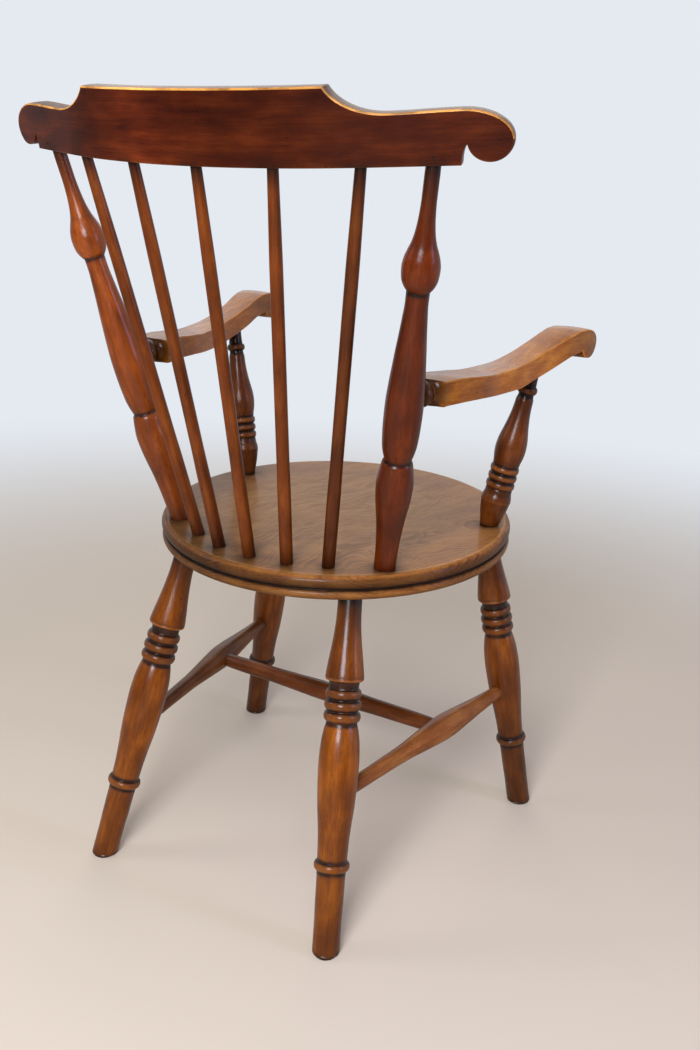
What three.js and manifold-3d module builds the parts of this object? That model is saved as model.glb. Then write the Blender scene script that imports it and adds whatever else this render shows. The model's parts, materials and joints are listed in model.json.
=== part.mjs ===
// A captain's chair: a round seat on four turned legs, five plain spindles and two turned
// posts under a curved crest rail, and two scrolled arms on turned supports.
//
// Lengths are in millimetres and angles in degrees. The chair is laid out in the frame of
// its seat: the origin is the middle of the seat's top face, +Z goes up from the seat, the
// sitter looks along -Y and the sitter's left is +X. The whole chair is then tipped back
// by the seat's slope and stood on the floor.

import * as THREE from "three";
import { mergeVertices } from "three/addons/utils/BufferGeometryUtils.js";
import Module from "manifold-3d";

const wasm = await Module();
wasm.setup();

// Clearances, shared by every joint
const jointClearance = 0.3;
const cutOverrun = 5;
const mergeDistance = 0.0001;

// Seat
const seatRadius = 224;
const seatThickness = 28.5;
const seatHeight = 431.5;
const seatSlope = 2.25;
const seatLowerBead = 11;
const seatGrooveWidth = 2.2;
const seatGrooveDepth = 4;
const seatLowerBeadInset = 0.3;
const seatArrisWidth = 8;
const seatBeadTurnShare = 0.9;

// Legs: where their axes meet the seat's underside, how they splay, and their size
const legCircle = 199;
const rearLegBearing = 36.3;
const frontLegBearing = 125.9;
const rearLegSplay = { outward: 50.8, back: 123.4, down: 391.5 };
const frontLegSplay = { outward: 70.8, back: -22.4, down: 408.6 };
const legLength = 414.5;
const legRadius = 23.4;
const legSocketDepth = 22;
const footFloorOverrun = 12;

// Stretchers
const sideStretcherDrop = 234;
const sideStretcherRadius = 16.2;
const stretcherSocketDepth = 15;
const crossStretcherShare = 0.585;
const crossStretcherRadius = 12.8;
const crossStretcherSocketDepth = 8;

// Crest rail: a board bent to an arc in plan, with straight ends, and leaning back
const crestRadius = 516;
const crestBendHalfLength = 182;
const crestLean = 8.5;
const crestBack = 272.2;
const crestHeight = 428.4;
const crestThickness = 22;
const crestHalfLength = 307;
const crestCentreHeight = 69.5;
const crestPlateauHalfLength = 141;
const crestPinRadius = 1.8;
const crestPinLength = 15;
const crestPinHeight = 7.6;

// The crest's ears: a cove falls to them from the raised middle, and each rises to a low hump
// and ends in a lobe, with a notch cut into the underside behind the lobe. The cove is the
// part of a quarter ellipse up to a share of its width, and the notch that of one of its height.
const crestEarHeight = 45.8;
const crestCoveLength = 54;
const crestCoveShare = 0.931;
const crestHumpRise = 1.5;
const crestHumpLength = 45;
const crestTipHeight = 21;
const crestLobeLength = 42;
const crestLobeLift = 2.4;
const crestNotchWidth = 4.3;
const crestNotchTurn = 62;
const crestNotchHeightShare = 0.82;
const crestLobeEndShare = 0.965;

// Back posts and spindles: their circles on the seat and places along the crest. The feet
// of the spindles are spaced along the circle, and the posts are set in from the crest's ends.
const postCircle = 200.4;
const postBearing = 47.2;
const postCrestInset = 72;
const postCrestPlace = crestHalfLength - postCrestInset;
const postRadius = 20.3;
const postSeatSocketDepth = 22;
const postCrestSocketDepth = 26;
const spindleCount = 5;
const spindleCircle = 192.5;
const spindleFootStep = 48.2;
const spindleCrestStep = 84.7;
const spindleRadius = 7.6;
const spindleSeatSocketDepth = 18;
const spindleCrestSocketDepth = 24;

// Arms: a sawn plank with a scrolled hand and a turned boss that enters the post
const armHeight = 207.25;
const armThickness = 28.5;
const armWidth = 46;
const armLength = 315;
const armRearBack = 130;
const armSpread = 54;
const armRise = 21;
const armScrollRadius = 19;
const armScrollDrop = 10.6;
const armScrollLength = 16;
const armShoulderLength = 7;
const armNeckRadius = 12.4;
const armBallRadius = 14.6;
const armBallLength = 17;
const armTenonRadius = 8.5;
const armTenonDepth = 12;
const armNoseEndShare = 0.94;

// Arm supports
const supportFoot = { across: 187.4, back: -61 };
const supportTop = { across: 222, back: -82.4 };
const supportRadius = 19;
const supportSeatSocketDepth = 20;
const supportArmSocketDepth = 14;

// Facets of the round pieces
const legSides = 16;
const postSides = 16;
const supportSides = 14;
const stretcherSides = 14;
const spindleSides = 12;
const pinSides = 8;
const seatSides = 64;
const socketSides = 12;
const runSteps = 1;
const beadSteps = 4;

const radians = THREE.MathUtils.degToRad;

// Turned outlines. Each point is a share of the piece's length, from its first end, and a
// share of its greatest radius. A list of points is a smooth run, and a bead swells from
// its edge to its crown as half an ellipse.

const legTurningShares = [
  { run: [[0, 0.585], [0.065, 0.607], [0.13, 0.705], [0.186, 0.846], [0.23, 0.94]] },
  { run: [[0.237, 0.945], [0.243, 0.91]] },
  { run: [[0.2505, 0.75], [0.2605, 0.755]] },
  { bead: [0.2605, 0.2925], edge: 0.775, crown: 0.885 },
  { bead: [0.2945, 0.325], edge: 0.8, crown: 0.912 },
  { bead: [0.327, 0.3575], edge: 0.8, crown: 0.912 },
  { run: [[0.363, 0.775], [0.387, 0.87], [0.42, 0.955], [0.47, 1], [0.53, 0.975],
    [0.605, 0.885], [0.67, 0.787], [0.73, 0.742]] },
  { bead: [0.7435, 0.768], edge: 0.745, crown: 0.887 },
  { run: [[0.772, 0.718], [0.85, 0.702], [0.92, 0.678], [1, 0.672]] },
];

const postTurningShares = [
  { run: [[0, 0.612], [0.06, 0.637], [0.12, 0.718], [0.175, 0.85], [0.215, 0.957],
    [0.249, 1], [0.266, 0.985]] },
  { run: [[0.276, 0.932], [0.3, 0.845], [0.3185, 0.705]] },
  { run: [[0.341, 0.84], [0.372, 0.94], [0.43, 0.988], [0.5, 0.945], [0.577, 0.81],
    [0.65, 0.68], [0.7, 0.597], [0.738, 0.562]] },
  { run: [[0.745, 0.71], [0.757, 0.835], [0.78, 0.921], [0.803, 0.885], [0.828, 0.695],
    [0.855, 0.51], [0.885, 0.412], [0.93, 0.36], [1, 0.35]] },
];

const supportTurningShares = [
  { run: [[0, 0.59], [0.045, 0.68], [0.1, 0.8], [0.172, 0.97]] },
  { run: [[0.18, 0.975], [0.205, 0.91], [0.243, 0.872]] },
  { bead: [0.247, 0.295], edge: 0.875, crown: 0.945 },
  { bead: [0.297, 0.345], edge: 0.875, crown: 0.945 },
  { bead: [0.347, 0.395], edge: 0.875, crown: 0.945 },
  { run: [[0.4, 0.87], [0.445, 0.945], [0.505, 1], [0.565, 0.94], [0.64, 0.78],
    [0.72, 0.63], [0.79, 0.555], [0.846, 0.5]] },
  { bead: [0.85, 0.893], edge: 0.51, crown: 0.635 },
  { run: [[0.897, 0.485], [1, 0.45]] },
];

const spindleTurningShares = [
  { run: [[0, 1], [0.2, 0.985], [0.35, 0.945], [0.6, 0.93], [0.8, 0.88], [1, 0.74]] },
];

const sideStretcherTurningShares = [
  { run: [[0, 0.55], [0.2, 0.6], [0.35, 0.66], [0.47, 0.85], [0.585, 1], [0.7, 0.85],
    [0.83, 0.65], [1, 0.5]] },
];

const crossStretcherTurningShares = [
  { run: [[0, 0.65], [0.15, 0.79], [0.35, 0.88], [0.5, 1], [0.65, 0.88], [0.85, 0.79],
    [1, 0.65]] },
];

// The arm's side view and plan, from the rear of its block to the hand. Places are shares
// of the length, heights are shares of the rise, widths are shares of half the width and
// bows are shares of the spread.
const armTopShares = [[0, 0], [0.064, 0.04], [0.19, -0.12], [0.317, -0.27], [0.444, -0.21],
  [0.571, 0.04], [0.698, 0.43], [0.825, 0.84], [0.905, 0.98]];
const armBottomShares = [[0, 0], [0.064, 0.04], [0.19, -0.03], [0.317, -0.16],
  [0.444, -0.19], [0.571, 0.06], [0.698, 0.42], [0.825, 0.91], [0.889, 1.032]];
const armWidthShares = [[0, 1], [0.064, 1.05], [0.19, 1.08], [0.317, 0.98], [0.444, 0.87],
  [0.571, 0.82], [0.698, 0.85], [0.825, 0.93], [1, 1.02]];
const armBowShares = [[0, 0], [0.25, 0.055], [0.55, 0.05], [0.8, 0.02], [1, 0]];

// The seat's edge from its top face to its underside: a rounded bead, a groove and a
// lower bead
function seatOutline() {
  const upperBead = seatThickness - seatLowerBead - seatGrooveWidth;
  const points = [new THREE.Vector2(0, 0)];
  const steps = 5;
  for (let step = 0; step <= steps; step += 1) {
    const turn = (step / steps) * Math.PI / 2;
    points.push(new THREE.Vector2(
      seatRadius - seatArrisWidth * (1 - Math.sin(turn)),
      -(upperBead / 2) * (1 - Math.cos(turn)),
    ));
  }
  const lowerEdgeInset = seatGrooveDepth / 2;
  points.push(new THREE.Vector2(seatRadius - lowerEdgeInset, -upperBead * seatBeadTurnShare));
  points.push(new THREE.Vector2(seatRadius - seatGrooveDepth, -upperBead));
  points.push(new THREE.Vector2(seatRadius - seatGrooveDepth, -upperBead - seatGrooveWidth));
  const lowerBeadMiddle = -seatThickness + seatLowerBead / 2;
  for (let step = 1; step < steps; step += 1) {
    const turn = Math.PI / 2 - (step / steps) * Math.PI;
    points.push(new THREE.Vector2(
      seatRadius - seatGrooveDepth + (seatGrooveDepth - seatLowerBeadInset) * Math.cos(turn),
      lowerBeadMiddle + (seatLowerBead / 2) * Math.sin(turn),
    ));
  }
  points.push(new THREE.Vector2(seatRadius - seatGrooveDepth, -seatThickness));
  points.push(new THREE.Vector2(0, -seatThickness));
  return points.reverse();
}

// A smooth run through points of place and height, read at any place
function smoothRun(points) {
  const runPoints = points.map(([place, height]) => new THREE.Vector2(place, height));
  const curve = new THREE.SplineCurve(runPoints);
  return (place) => {
    let low = 0;
    let high = 1;
    for (let pass = 0; pass < 40; pass += 1) {
      const middle = (low + high) / 2;
      if (curve.getPoint(middle).x < place) {
        low = middle;
      } else {
        high = middle;
      }
    }
    return curve.getPoint(low).y;
  };
}

// The outline of a turned piece, as places along it and radii, with plain ends that run
// on into its sockets
function turnedOutline(turning, length, radius, before, after) {
  const outline = [];
  for (const stretch of turning) {
    if (stretch.run) {
      const runPoints = stretch.run.map(([place, size]) => new THREE.Vector2(place, size));
      const curve = new THREE.SplineCurve(runPoints);
      const steps = stretch.run.length > 2 ? (stretch.run.length - 1) * runSteps : 1;
      for (let step = 0; step <= steps; step += 1) {
        const point = curve.getPoint(step / steps);
        outline.push([point.x * length, point.y * radius]);
      }
    } else {
      const [start, end] = stretch.bead;
      for (let step = 0; step <= beadSteps; step += 1) {
        const turn = (step / beadSteps) * Math.PI;
        const place = (start + end) / 2 - ((end - start) / 2) * Math.cos(turn);
        const size = stretch.edge + (stretch.crown - stretch.edge) * Math.sin(turn);
        outline.push([place * length, size * radius]);
      }
    }
  }
  const first = outline[0][1];
  const last = outline[outline.length - 1][1];
  const points = [new THREE.Vector2(0, -before)];
  if (before > 0) {
    points.push(new THREE.Vector2(first, -before));
  }
  for (const [place, size] of outline) {
    points.push(new THREE.Vector2(size, place));
  }
  if (after > 0) {
    points.push(new THREE.Vector2(last, length + after));
  }
  points.push(new THREE.Vector2(0, length + after));
  return points;
}

// Materials: the photographed browns of each group of pieces
function timber(colour, roughness) {
  return new THREE.MeshStandardMaterial({ color: colour, roughness, metalness: 0 });
}

const chair = new THREE.Group();
chair.rotation.x = -radians(seatSlope);
chair.position.z = seatHeight;

function addPiece(name, geometry, material) {
  const mesh = new THREE.Mesh(geometry, material);
  mesh.name = name;
  chair.add(mesh);
  return mesh;
}

// Stands a turned piece so that its axis runs from one point towards another
function standAlong(object, from, to) {
  const along = to.clone().sub(from).normalize();
  object.position.copy(from);
  object.quaternion.setFromUnitVectors(new THREE.Vector3(0, 1, 0), along);
  return object;
}

// A turned piece between two points, with its ends run on into its two sockets
function turnedPiece(name, turning, radius, sides, from, to, before, after, material) {
  const length = from.distanceTo(to);
  const outline = turnedOutline(turning, length, radius, before, after);
  return standAlong(addPiece(name, new THREE.LatheGeometry(outline, sides), material), from, to);
}

// A straight round cutter from one point to another
function roundCutter(from, to, radius, sides) {
  const length = from.distanceTo(to);
  const outline = [
    new THREE.Vector2(0, 0),
    new THREE.Vector2(radius, 0),
    new THREE.Vector2(radius, length),
    new THREE.Vector2(0, length),
  ];
  const cutter = new THREE.Mesh(new THREE.LatheGeometry(outline, sides));
  chair.add(cutter);
  standAlong(cutter, from, to);
  cutter.updateWorldMatrix(true, false);
  chair.remove(cutter);
  return cutter;
}

// A round socket for a piece whose end runs along an axis: it starts outside the surface
// and ends a clearance past the piece's end. Facets are allowed for, so that the corners
// of the piece clear the flats of the socket.
function socket(surfacePoint, along, depth, pieceRadius) {
  const radius = (pieceRadius + jointClearance) / Math.cos(Math.PI / socketSides);
  const from = surfacePoint.clone().addScaledVector(along, -pieceRadius - cutOverrun);
  const to = surfacePoint.clone().addScaledVector(along, depth + jointClearance);
  return roundCutter(from, to, radius, socketSides);
}

// Closed three.js meshes to solids and back
function toSolid(geometry, matrix) {
  const bare = new THREE.BufferGeometry();
  bare.setAttribute("position", geometry.getAttribute("position").clone());
  if (geometry.index) {
    bare.setIndex(geometry.index.clone());
  }
  bare.applyMatrix4(matrix);
  const merged = mergeVertices(bare, mergeDistance);
  const index = Array.from(merged.index.array);
  const kept = [];
  for (let corner = 0; corner < index.length; corner += 3) {
    const [a, b, c] = index.slice(corner, corner + 3);
    if (a !== b && b !== c && c !== a) {
      kept.push(a, b, c);
    }
  }
  return new wasm.Manifold(new wasm.Mesh({
    numProp: 3,
    vertProperties: new Float32Array(merged.getAttribute("position").array),
    triVerts: new Uint32Array(kept),
  }));
}

function fromSolid(solid) {
  const mesh = solid.getMesh();
  const geometry = new THREE.BufferGeometry();
  const places = new Float32Array((mesh.vertProperties.length / mesh.numProp) * 3);
  for (let vertex = 0; vertex < places.length / 3; vertex += 1) {
    for (let axis = 0; axis < 3; axis += 1) {
      places[vertex * 3 + axis] = mesh.vertProperties[vertex * mesh.numProp + axis];
    }
  }
  geometry.setAttribute("position", new THREE.BufferAttribute(places, 3));
  geometry.setIndex(Array.from(mesh.triVerts));
  geometry.computeVertexNormals();
  return geometry;
}

// Cuts a placed mesh with placed cutters, in the mesh's own frame
function cut(mesh, cutters) {
  mesh.updateWorldMatrix(true, false);
  const inward = mesh.matrixWorld.clone().invert();
  let solid = toSolid(mesh.geometry, new THREE.Matrix4());
  for (const cutter of cutters) {
    solid = solid.subtract(toSolid(cutter.geometry, inward.clone().multiply(cutter.matrixWorld)));
  }
  mesh.geometry = fromSolid(solid);
}

// A long piece lofted through rings of points, closed by a fan at each end
function loftedGeometry(rings) {
  const around = rings[0].length;
  const places = [];
  const triangles = [];
  for (const ring of rings) {
    for (const point of ring) {
      places.push(point.x, point.y, point.z);
    }
  }
  for (let ring = 0; ring < rings.length - 1; ring += 1) {
    for (let point = 0; point < around; point += 1) {
      const next = (point + 1) % around;
      const a = ring * around + point;
      const b = ring * around + next;
      const c = a + around;
      const d = b + around;
      triangles.push(a, b, d, a, d, c);
    }
  }
  const capStarts = [0, (rings.length - 1) * around];
  capStarts.forEach((start, end) => {
    const middle = places.length / 3;
    const centre = new THREE.Vector3();
    for (const point of end === 0 ? rings[0] : rings[rings.length - 1]) {
      centre.addScaledVector(point, 1 / around);
    }
    places.push(centre.x, centre.y, centre.z);
    for (let point = 0; point < around; point += 1) {
      const here = start + point;
      const next = start + ((point + 1) % around);
      triangles.push(...(end === 0 ? [middle, next, here] : [middle, here, next]));
    }
  });
  const geometry = new THREE.BufferGeometry();
  geometry.setAttribute("position", new THREE.BufferAttribute(new Float32Array(places), 3));
  geometry.setIndex(triangles);
  geometry.computeVertexNormals();
  return geometry;
}

// Places on the seat, by the bearing from the middle of its back
function onSeat(radius, bearing, side, height) {
  return new THREE.Vector3(
    side * radius * Math.sin(radians(bearing)),
    radius * Math.cos(radians(bearing)),
    height,
  );
}

// Places on the bent board of the crest: along its arc, up from its underside, and back
// from its middle surface
const crestUp = new THREE.Vector3(0, Math.sin(radians(crestLean)), Math.cos(radians(crestLean)));
const crestOut = new THREE.Vector3(0, Math.cos(radians(crestLean)), -Math.sin(radians(crestLean)));

// The way out of the board's back at a place along its arc
function crestTurn(along) {
  return Math.sign(along) * Math.min(Math.abs(along), crestBendHalfLength) / crestRadius;
}

function outOfCrest(along) {
  const turn = crestTurn(along);
  return new THREE.Vector3(Math.sin(turn), 0, 0).addScaledVector(crestOut, Math.cos(turn));
}

function onCrest(along, up, back) {
  const turn = crestTurn(along);
  const straight = along - turn * crestRadius;
  const across = crestRadius * Math.sin(turn) + straight * Math.cos(turn);
  return new THREE.Vector3(across, crestBack, crestHeight)
    .addScaledVector(crestOut, crestRadius * (Math.cos(turn) - 1) - straight * Math.sin(turn))
    .addScaledVector(outOfCrest(along), back)
    .addScaledVector(crestUp, up);
}

// The height of a quarter ellipse at a share of its width
function quarterHeight(share) {
  return Math.sqrt(Math.max(1 - share ** 2, 0));
}

// The top of the crest at a place along its arc: the raised middle, the cove, the rise to the
// hump and the fall to the tip
function crestTop(along) {
  const place = Math.abs(along);
  const coveEnd = crestPlateauHalfLength + crestCoveLength;
  const humpPlace = crestHalfLength - crestHumpLength;
  if (place <= crestPlateauHalfLength) {
    return crestCentreHeight;
  }
  if (place <= coveEnd) {
    const width = crestCoveShare * ((coveEnd - place) / crestCoveLength);
    const climb = (1 - quarterHeight(width)) / (1 - quarterHeight(crestCoveShare));
    return crestEarHeight + (crestCentreHeight - crestEarHeight) * climb;
  }
  if (place <= humpPlace) {
    const turn = Math.PI * ((place - coveEnd) / (humpPlace - coveEnd));
    return crestEarHeight + crestHumpRise * ((1 - Math.cos(turn)) / 2);
  }
  const crown = crestEarHeight + crestHumpRise - crestTipHeight;
  return crestTipHeight + crown * quarterHeight((place - humpPlace) / crestHumpLength);
}

// The notch: where its wall leaves the underside, and its apex, where it meets the lobe
function crestNotch() {
  const lobeHalf = crestLobeLength / 2;
  const height = crestTipHeight * crestNotchHeightShare;
  const depth = (crestTipHeight - height) / (crestTipHeight - crestLobeLift);
  const apex = crestHalfLength - lobeHalf - lobeHalf * quarterHeight(depth);
  return { corner: apex - crestNotchWidth, apex, height };
}

// The turn of the notch's wall at a place along the arc
function crestNotchWall(place) {
  const fullTurn = radians(crestNotchTurn);
  const share = (place - crestNotch().corner) / crestNotchWidth;
  return Math.acos(1 - share * (1 - Math.cos(fullTurn)));
}

// The bottom of the crest at a place along its arc: straight, the notch's wall, the lobe
function crestBottom(along) {
  const place = Math.abs(along);
  const notch = crestNotch();
  if (place <= notch.corner) {
    return 0;
  }
  if (place <= notch.apex) {
    return notch.height * (Math.sin(crestNotchWall(place)) / Math.sin(radians(crestNotchTurn)));
  }
  const lobeHalf = crestLobeLength / 2;
  const width = (place - (crestHalfLength - lobeHalf)) / lobeHalf;
  return crestTipHeight - (crestTipHeight - crestLobeLift) * quarterHeight(width);
}

// Where the crest needs a section, on one side of its middle
function crestStations() {
  const notch = crestNotch();
  const stations = [0];
  const plateauSteps = 6;
  for (let step = 1; step <= plateauSteps; step += 1) {
    stations.push(crestPlateauHalfLength * (step / plateauSteps));
  }
  const coveEnd = crestPlateauHalfLength + crestCoveLength;
  const coveTurn = Math.asin(crestCoveShare);
  const coveSteps = 7;
  for (let step = 1; step <= coveSteps; step += 1) {
    const turn = coveTurn * (1 - step / coveSteps);
    stations.push(coveEnd - crestCoveLength * (Math.sin(turn) / crestCoveShare));
  }
  const earSteps = 4;
  for (let step = 1; step <= earSteps; step += 1) {
    stations.push(coveEnd + (notch.corner - coveEnd) * (step / earSteps));
  }
  const wallTurn = radians(crestNotchTurn);
  const notchSteps = 4;
  for (let step = 1; step <= notchSteps; step += 1) {
    const turn = wallTurn * (step / notchSteps);
    const share = (1 - Math.cos(turn)) / (1 - Math.cos(wallTurn));
    stations.push(notch.corner + crestNotchWidth * share);
  }
  const lobeHalf = crestLobeLength / 2;
  const lobeMiddle = crestHalfLength - lobeHalf;
  const startTurn = Math.acos((lobeMiddle - notch.apex) / lobeHalf);
  const endTurn = Math.PI * crestLobeEndShare;
  const lobeSteps = 12;
  for (let step = 1; step <= lobeSteps; step += 1) {
    const turn = startTurn + (endTurn - startTurn) * (step / lobeSteps);
    stations.push(lobeMiddle - lobeHalf * Math.cos(turn));
  }
  return stations;
}

function makeCrest() {
  const half = crestStations();
  const whole = [...half.slice(1).reverse().map((place) => -place), ...half];
  const rings = whole.map((along) => [
    onCrest(along, crestBottom(along), -crestThickness / 2),
    onCrest(along, crestBottom(along), crestThickness / 2),
    onCrest(along, crestTop(along), crestThickness / 2),
    onCrest(along, crestTop(along), -crestThickness / 2),
  ]);
  return addPiece("crest_rail", loftedGeometry(rings), timber(0x5a2412, 0.34));
}

// The arm's place, height and width at a share of its length. The hand is half a circle
// in front and a quarter ellipse that drops from the notch underneath.
const armTopRun = smoothRun(armTopShares);
const armBottomRun = smoothRun(armBottomShares);
const armWidthRun = smoothRun(armWidthShares);
const armBowRun = smoothRun(armBowShares);

function armSection(share, postAcross) {
  const forward = share * armLength;
  const scrollMiddle = armLength - armScrollRadius;
  const notch = scrollMiddle - armScrollLength;
  const handTop = armHeight + armThickness / 2 + armRise * armTopShares.at(-1)[1];
  const handMiddle = handTop - armScrollRadius;
  let top = armHeight + armThickness / 2 + armRise * armTopRun(share);
  let bottom = armHeight - armThickness / 2 + armRise * armBottomRun(share);
  if (share > armTopShares.at(-1)[0]) {
    top = handTop;
  }
  if (forward > notch) {
    const drop = Math.sqrt(Math.max(1 - ((scrollMiddle - forward) / armScrollLength) ** 2, 0));
    const notchBottom = handMiddle - armScrollRadius + armScrollDrop;
    bottom = notchBottom - armScrollDrop * drop;
  }
  if (forward > scrollMiddle) {
    const reach = Math.sqrt(Math.max(armScrollRadius ** 2 - (forward - scrollMiddle) ** 2, 0));
    top = handMiddle + reach;
    bottom = handMiddle - reach;
  }
  return {
    across: postAcross + armSpread * (share + armBowRun(share)),
    back: armRearBack - forward,
    halfWidth: (armWidth / 2) * armWidthRun(share),
    top,
    bottom,
  };
}

// A ring of points round a rectangle, drawn in to a circle wherever it would pass it
const armRingShares = [[-1, -1], [-0.4, -1], [0, -1], [0.4, -1], [1, -1], [1, 0],
  [1, 1], [0.4, 1], [0, 1], [-0.4, 1], [-1, 1], [-1, 0]];

function armRing(section, limit, side) {
  const middle = (section.top + section.bottom) / 2;
  const halfHeight = (section.top - section.bottom) / 2;
  return armRingShares.map(([wide, high]) => {
    const reach = Math.hypot(wide * section.halfWidth, high * halfHeight);
    const drawIn = Math.min(1, limit / reach);
    return new THREE.Vector3(
      side * (section.across + wide * section.halfWidth * drawIn),
      section.back,
      middle + high * halfHeight * drawIn,
    );
  });
}

// The radius that the turned rear end allows at a distance behind the block: a hollow
// shoulder, a neck, a ball and the tenon
function bossLimits(tenonEnd) {
  const full = Math.hypot(armWidth, armThickness) / 2;
  const limits = [];
  const shoulderSteps = 4;
  for (let step = 0; step <= shoulderSteps; step += 1) {
    const turn = (step / shoulderSteps) * Math.PI / 2;
    limits.push([
      armShoulderLength * (1 - Math.cos(turn)),
      full - (full - armNeckRadius) * Math.sin(turn),
    ]);
  }
  const ballSteps = 8;
  const ballMiddle = armShoulderLength + armBallLength / 2;
  const edgeTurn = Math.asin(Math.min(armTenonRadius / armBallRadius, 1));
  for (let step = 1; step <= ballSteps; step += 1) {
    const turn = edgeTurn + (Math.PI - 2 * edgeTurn) * (step / ballSteps);
    const swell = step < ballSteps ? armBallRadius * Math.sin(turn) : armTenonRadius;
    limits.push([
      ballMiddle - (armBallLength / 2) * Math.cos(turn) / Math.cos(edgeTurn),
      Math.max(swell, armTenonRadius),
    ]);
  }
  limits.push([tenonEnd, armTenonRadius]);
  return limits;
}

function makeArm(name, side, postPoint) {
  const rings = [];
  const tenonEnd = postPoint.y - armRearBack - postRadius + armTenonDepth;
  const rear = armSection(0, postPoint.x * side);
  for (const [behind, limit] of bossLimits(tenonEnd).reverse()) {
    rings.push(armRing({ ...rear, back: armRearBack + behind }, limit, side));
  }
  const scrollMiddle = armLength - armScrollRadius;
  const notch = scrollMiddle - armScrollLength;
  const forwards = [];
  const bodySteps = 13;
  for (let step = 1; step <= bodySteps; step += 1) {
    forwards.push(notch * (step / bodySteps));
  }
  const dropSteps = 5;
  for (let step = 1; step <= dropSteps; step += 1) {
    const turn = (step / dropSteps) * Math.PI / 2;
    forwards.push(scrollMiddle - armScrollLength * Math.cos(turn));
  }
  const noseSteps = 6;
  for (let step = 1; step <= noseSteps; step += 1) {
    const turn = (step / noseSteps) * (Math.PI / 2) * armNoseEndShare;
    forwards.push(scrollMiddle + armScrollRadius * Math.sin(turn));
  }
  const unlimited = armWidth + armLength;
  for (const forward of forwards) {
    rings.push(armRing(armSection(forward / armLength, postPoint.x * side), unlimited, side));
  }
  if (side < 0) {
    rings.reverse();
  }
  return addPiece(name, loftedGeometry(rings), timber(0xa8632c, 0.36));
}

// The seat, the crest and what stands between them
const seatGeometry = new THREE.LatheGeometry(seatOutline(), seatSides);
const seat = addPiece("seat", seatGeometry, timber(0x8f6a4b, 0.42));
seat.rotation.x = Math.PI / 2;
const crest = makeCrest();
const seatCutters = [];
const crestCutters = [];

const sides = [["left", 1], ["right", -1]];

for (const [sideName, side] of sides) {
  const foot = onSeat(postCircle, postBearing, side, 0);
  const head = onCrest(side * postCrestPlace, 0, 0);
  const along = head.clone().sub(foot).normalize();
  const length = foot.distanceTo(head);
  const post = turnedPiece(`back_post_${sideName}`, postTurningShares, postRadius, postSides,
    foot, head, postSeatSocketDepth, postCrestSocketDepth, timber(0x7a3517, 0.3));
  seatCutters.push(socket(foot, along.clone().negate(), postSeatSocketDepth,
    postRadius * postTurningShares[0].run[0][1]));
  crestCutters.push(socket(head, along, postCrestSocketDepth,
    postRadius * postTurningShares.at(-1).run.at(-1)[1]));

  // The arm enters the post where the post's axis passes the arm's height
  const postPoint = foot.clone().addScaledVector(along, (length * armHeight) / head.z);
  const arm = makeArm(`arm_${sideName}`, side, postPoint);
  const armSocketFrom = new THREE.Vector3(postPoint.x, postPoint.y - postRadius, armHeight);
  const postCutters = [
    socket(armSocketFrom, new THREE.Vector3(0, 1, 0), armTenonDepth, armTenonRadius),
  ];

  // A pin through the back of the crest locks the post's tenon
  const pinOut = outOfCrest(side * postCrestPlace);
  const tenonPoint = head.clone().addScaledVector(along, crestPinHeight / along.dot(crestUp));
  const tenonBack = tenonPoint.clone().sub(onCrest(side * postCrestPlace, crestPinHeight, 0)).dot(pinOut);
  const pinHead = tenonPoint.clone().addScaledVector(pinOut, crestThickness / 2 - tenonBack);
  const pinTip = pinHead.clone().addScaledVector(pinOut, -crestPinLength);
  turnedPiece(`crest_pin_${sideName}`, [{ run: [[0, 1], [1, 1]] }], crestPinRadius, pinSides,
    pinTip, pinHead, 0, 0, timber(0x2c140a, 0.5));
  const pinSocket = socket(pinHead, pinOut.clone().negate(), crestPinLength, crestPinRadius);
  crestCutters.push(pinSocket);
  postCutters.push(pinSocket);
  cut(post, postCutters);

  // The arm's support stands in the seat and enters the arm from below
  const supportFrom = new THREE.Vector3(side * supportFoot.across, supportFoot.back, 0);
  const underArm = armSection((armRearBack - supportTop.back) / armLength, postPoint.x * side).bottom;
  const supportTo = new THREE.Vector3(side * supportTop.across, supportTop.back, underArm);
  const supportAlong = supportTo.clone().sub(supportFrom).normalize();
  turnedPiece(`arm_support_${sideName}`, supportTurningShares, supportRadius, supportSides,
    supportFrom, supportTo, supportSeatSocketDepth, supportArmSocketDepth, timber(0x7d3f1c, 0.3));
  seatCutters.push(socket(supportFrom, supportAlong.clone().negate(), supportSeatSocketDepth,
    supportRadius * supportTurningShares[0].run[0][1]));
  cut(arm, [socket(supportTo, supportAlong, supportArmSocketDepth,
    supportRadius * supportTurningShares.at(-1).run.at(-1)[1])]);
}

const spindleBearingStep = THREE.MathUtils.radToDeg(spindleFootStep / spindleCircle);
for (let spindle = 0; spindle < spindleCount; spindle += 1) {
  const place = (spindleCount - 1) / 2 - spindle;
  const foot = onSeat(spindleCircle, place * spindleBearingStep, 1, 0);
  const head = onCrest(place * spindleCrestStep, 0, 0);
  const along = head.clone().sub(foot).normalize();
  turnedPiece(`spindle_${spindle + 1}`, spindleTurningShares, spindleRadius, spindleSides,
    foot, head, spindleSeatSocketDepth, spindleCrestSocketDepth, timber(0x80391a, 0.36));
  seatCutters.push(socket(foot, along.clone().negate(), spindleSeatSocketDepth, spindleRadius));
  crestCutters.push(socket(head, along, spindleCrestSocketDepth,
    spindleRadius * spindleTurningShares[0].run.at(-1)[1]));
}
cut(crest, crestCutters);

// The floor, as a block that trims the feet level
const floorSize = 2 * (legCircle + legLength);
const floor = new THREE.Mesh(new THREE.BoxGeometry(floorSize, floorSize, legLength));
floor.position.z = -legLength / 2;
floor.updateWorldMatrix(true, false);

// Radius of a turned piece at a share of its length
function radiusAt(turning, radius, share) {
  const stretch = turning.find(({ run }) => run && run[0][0] <= share && share <= run.at(-1)[0]);
  return radius * smoothRun(stretch.run)(share);
}

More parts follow.
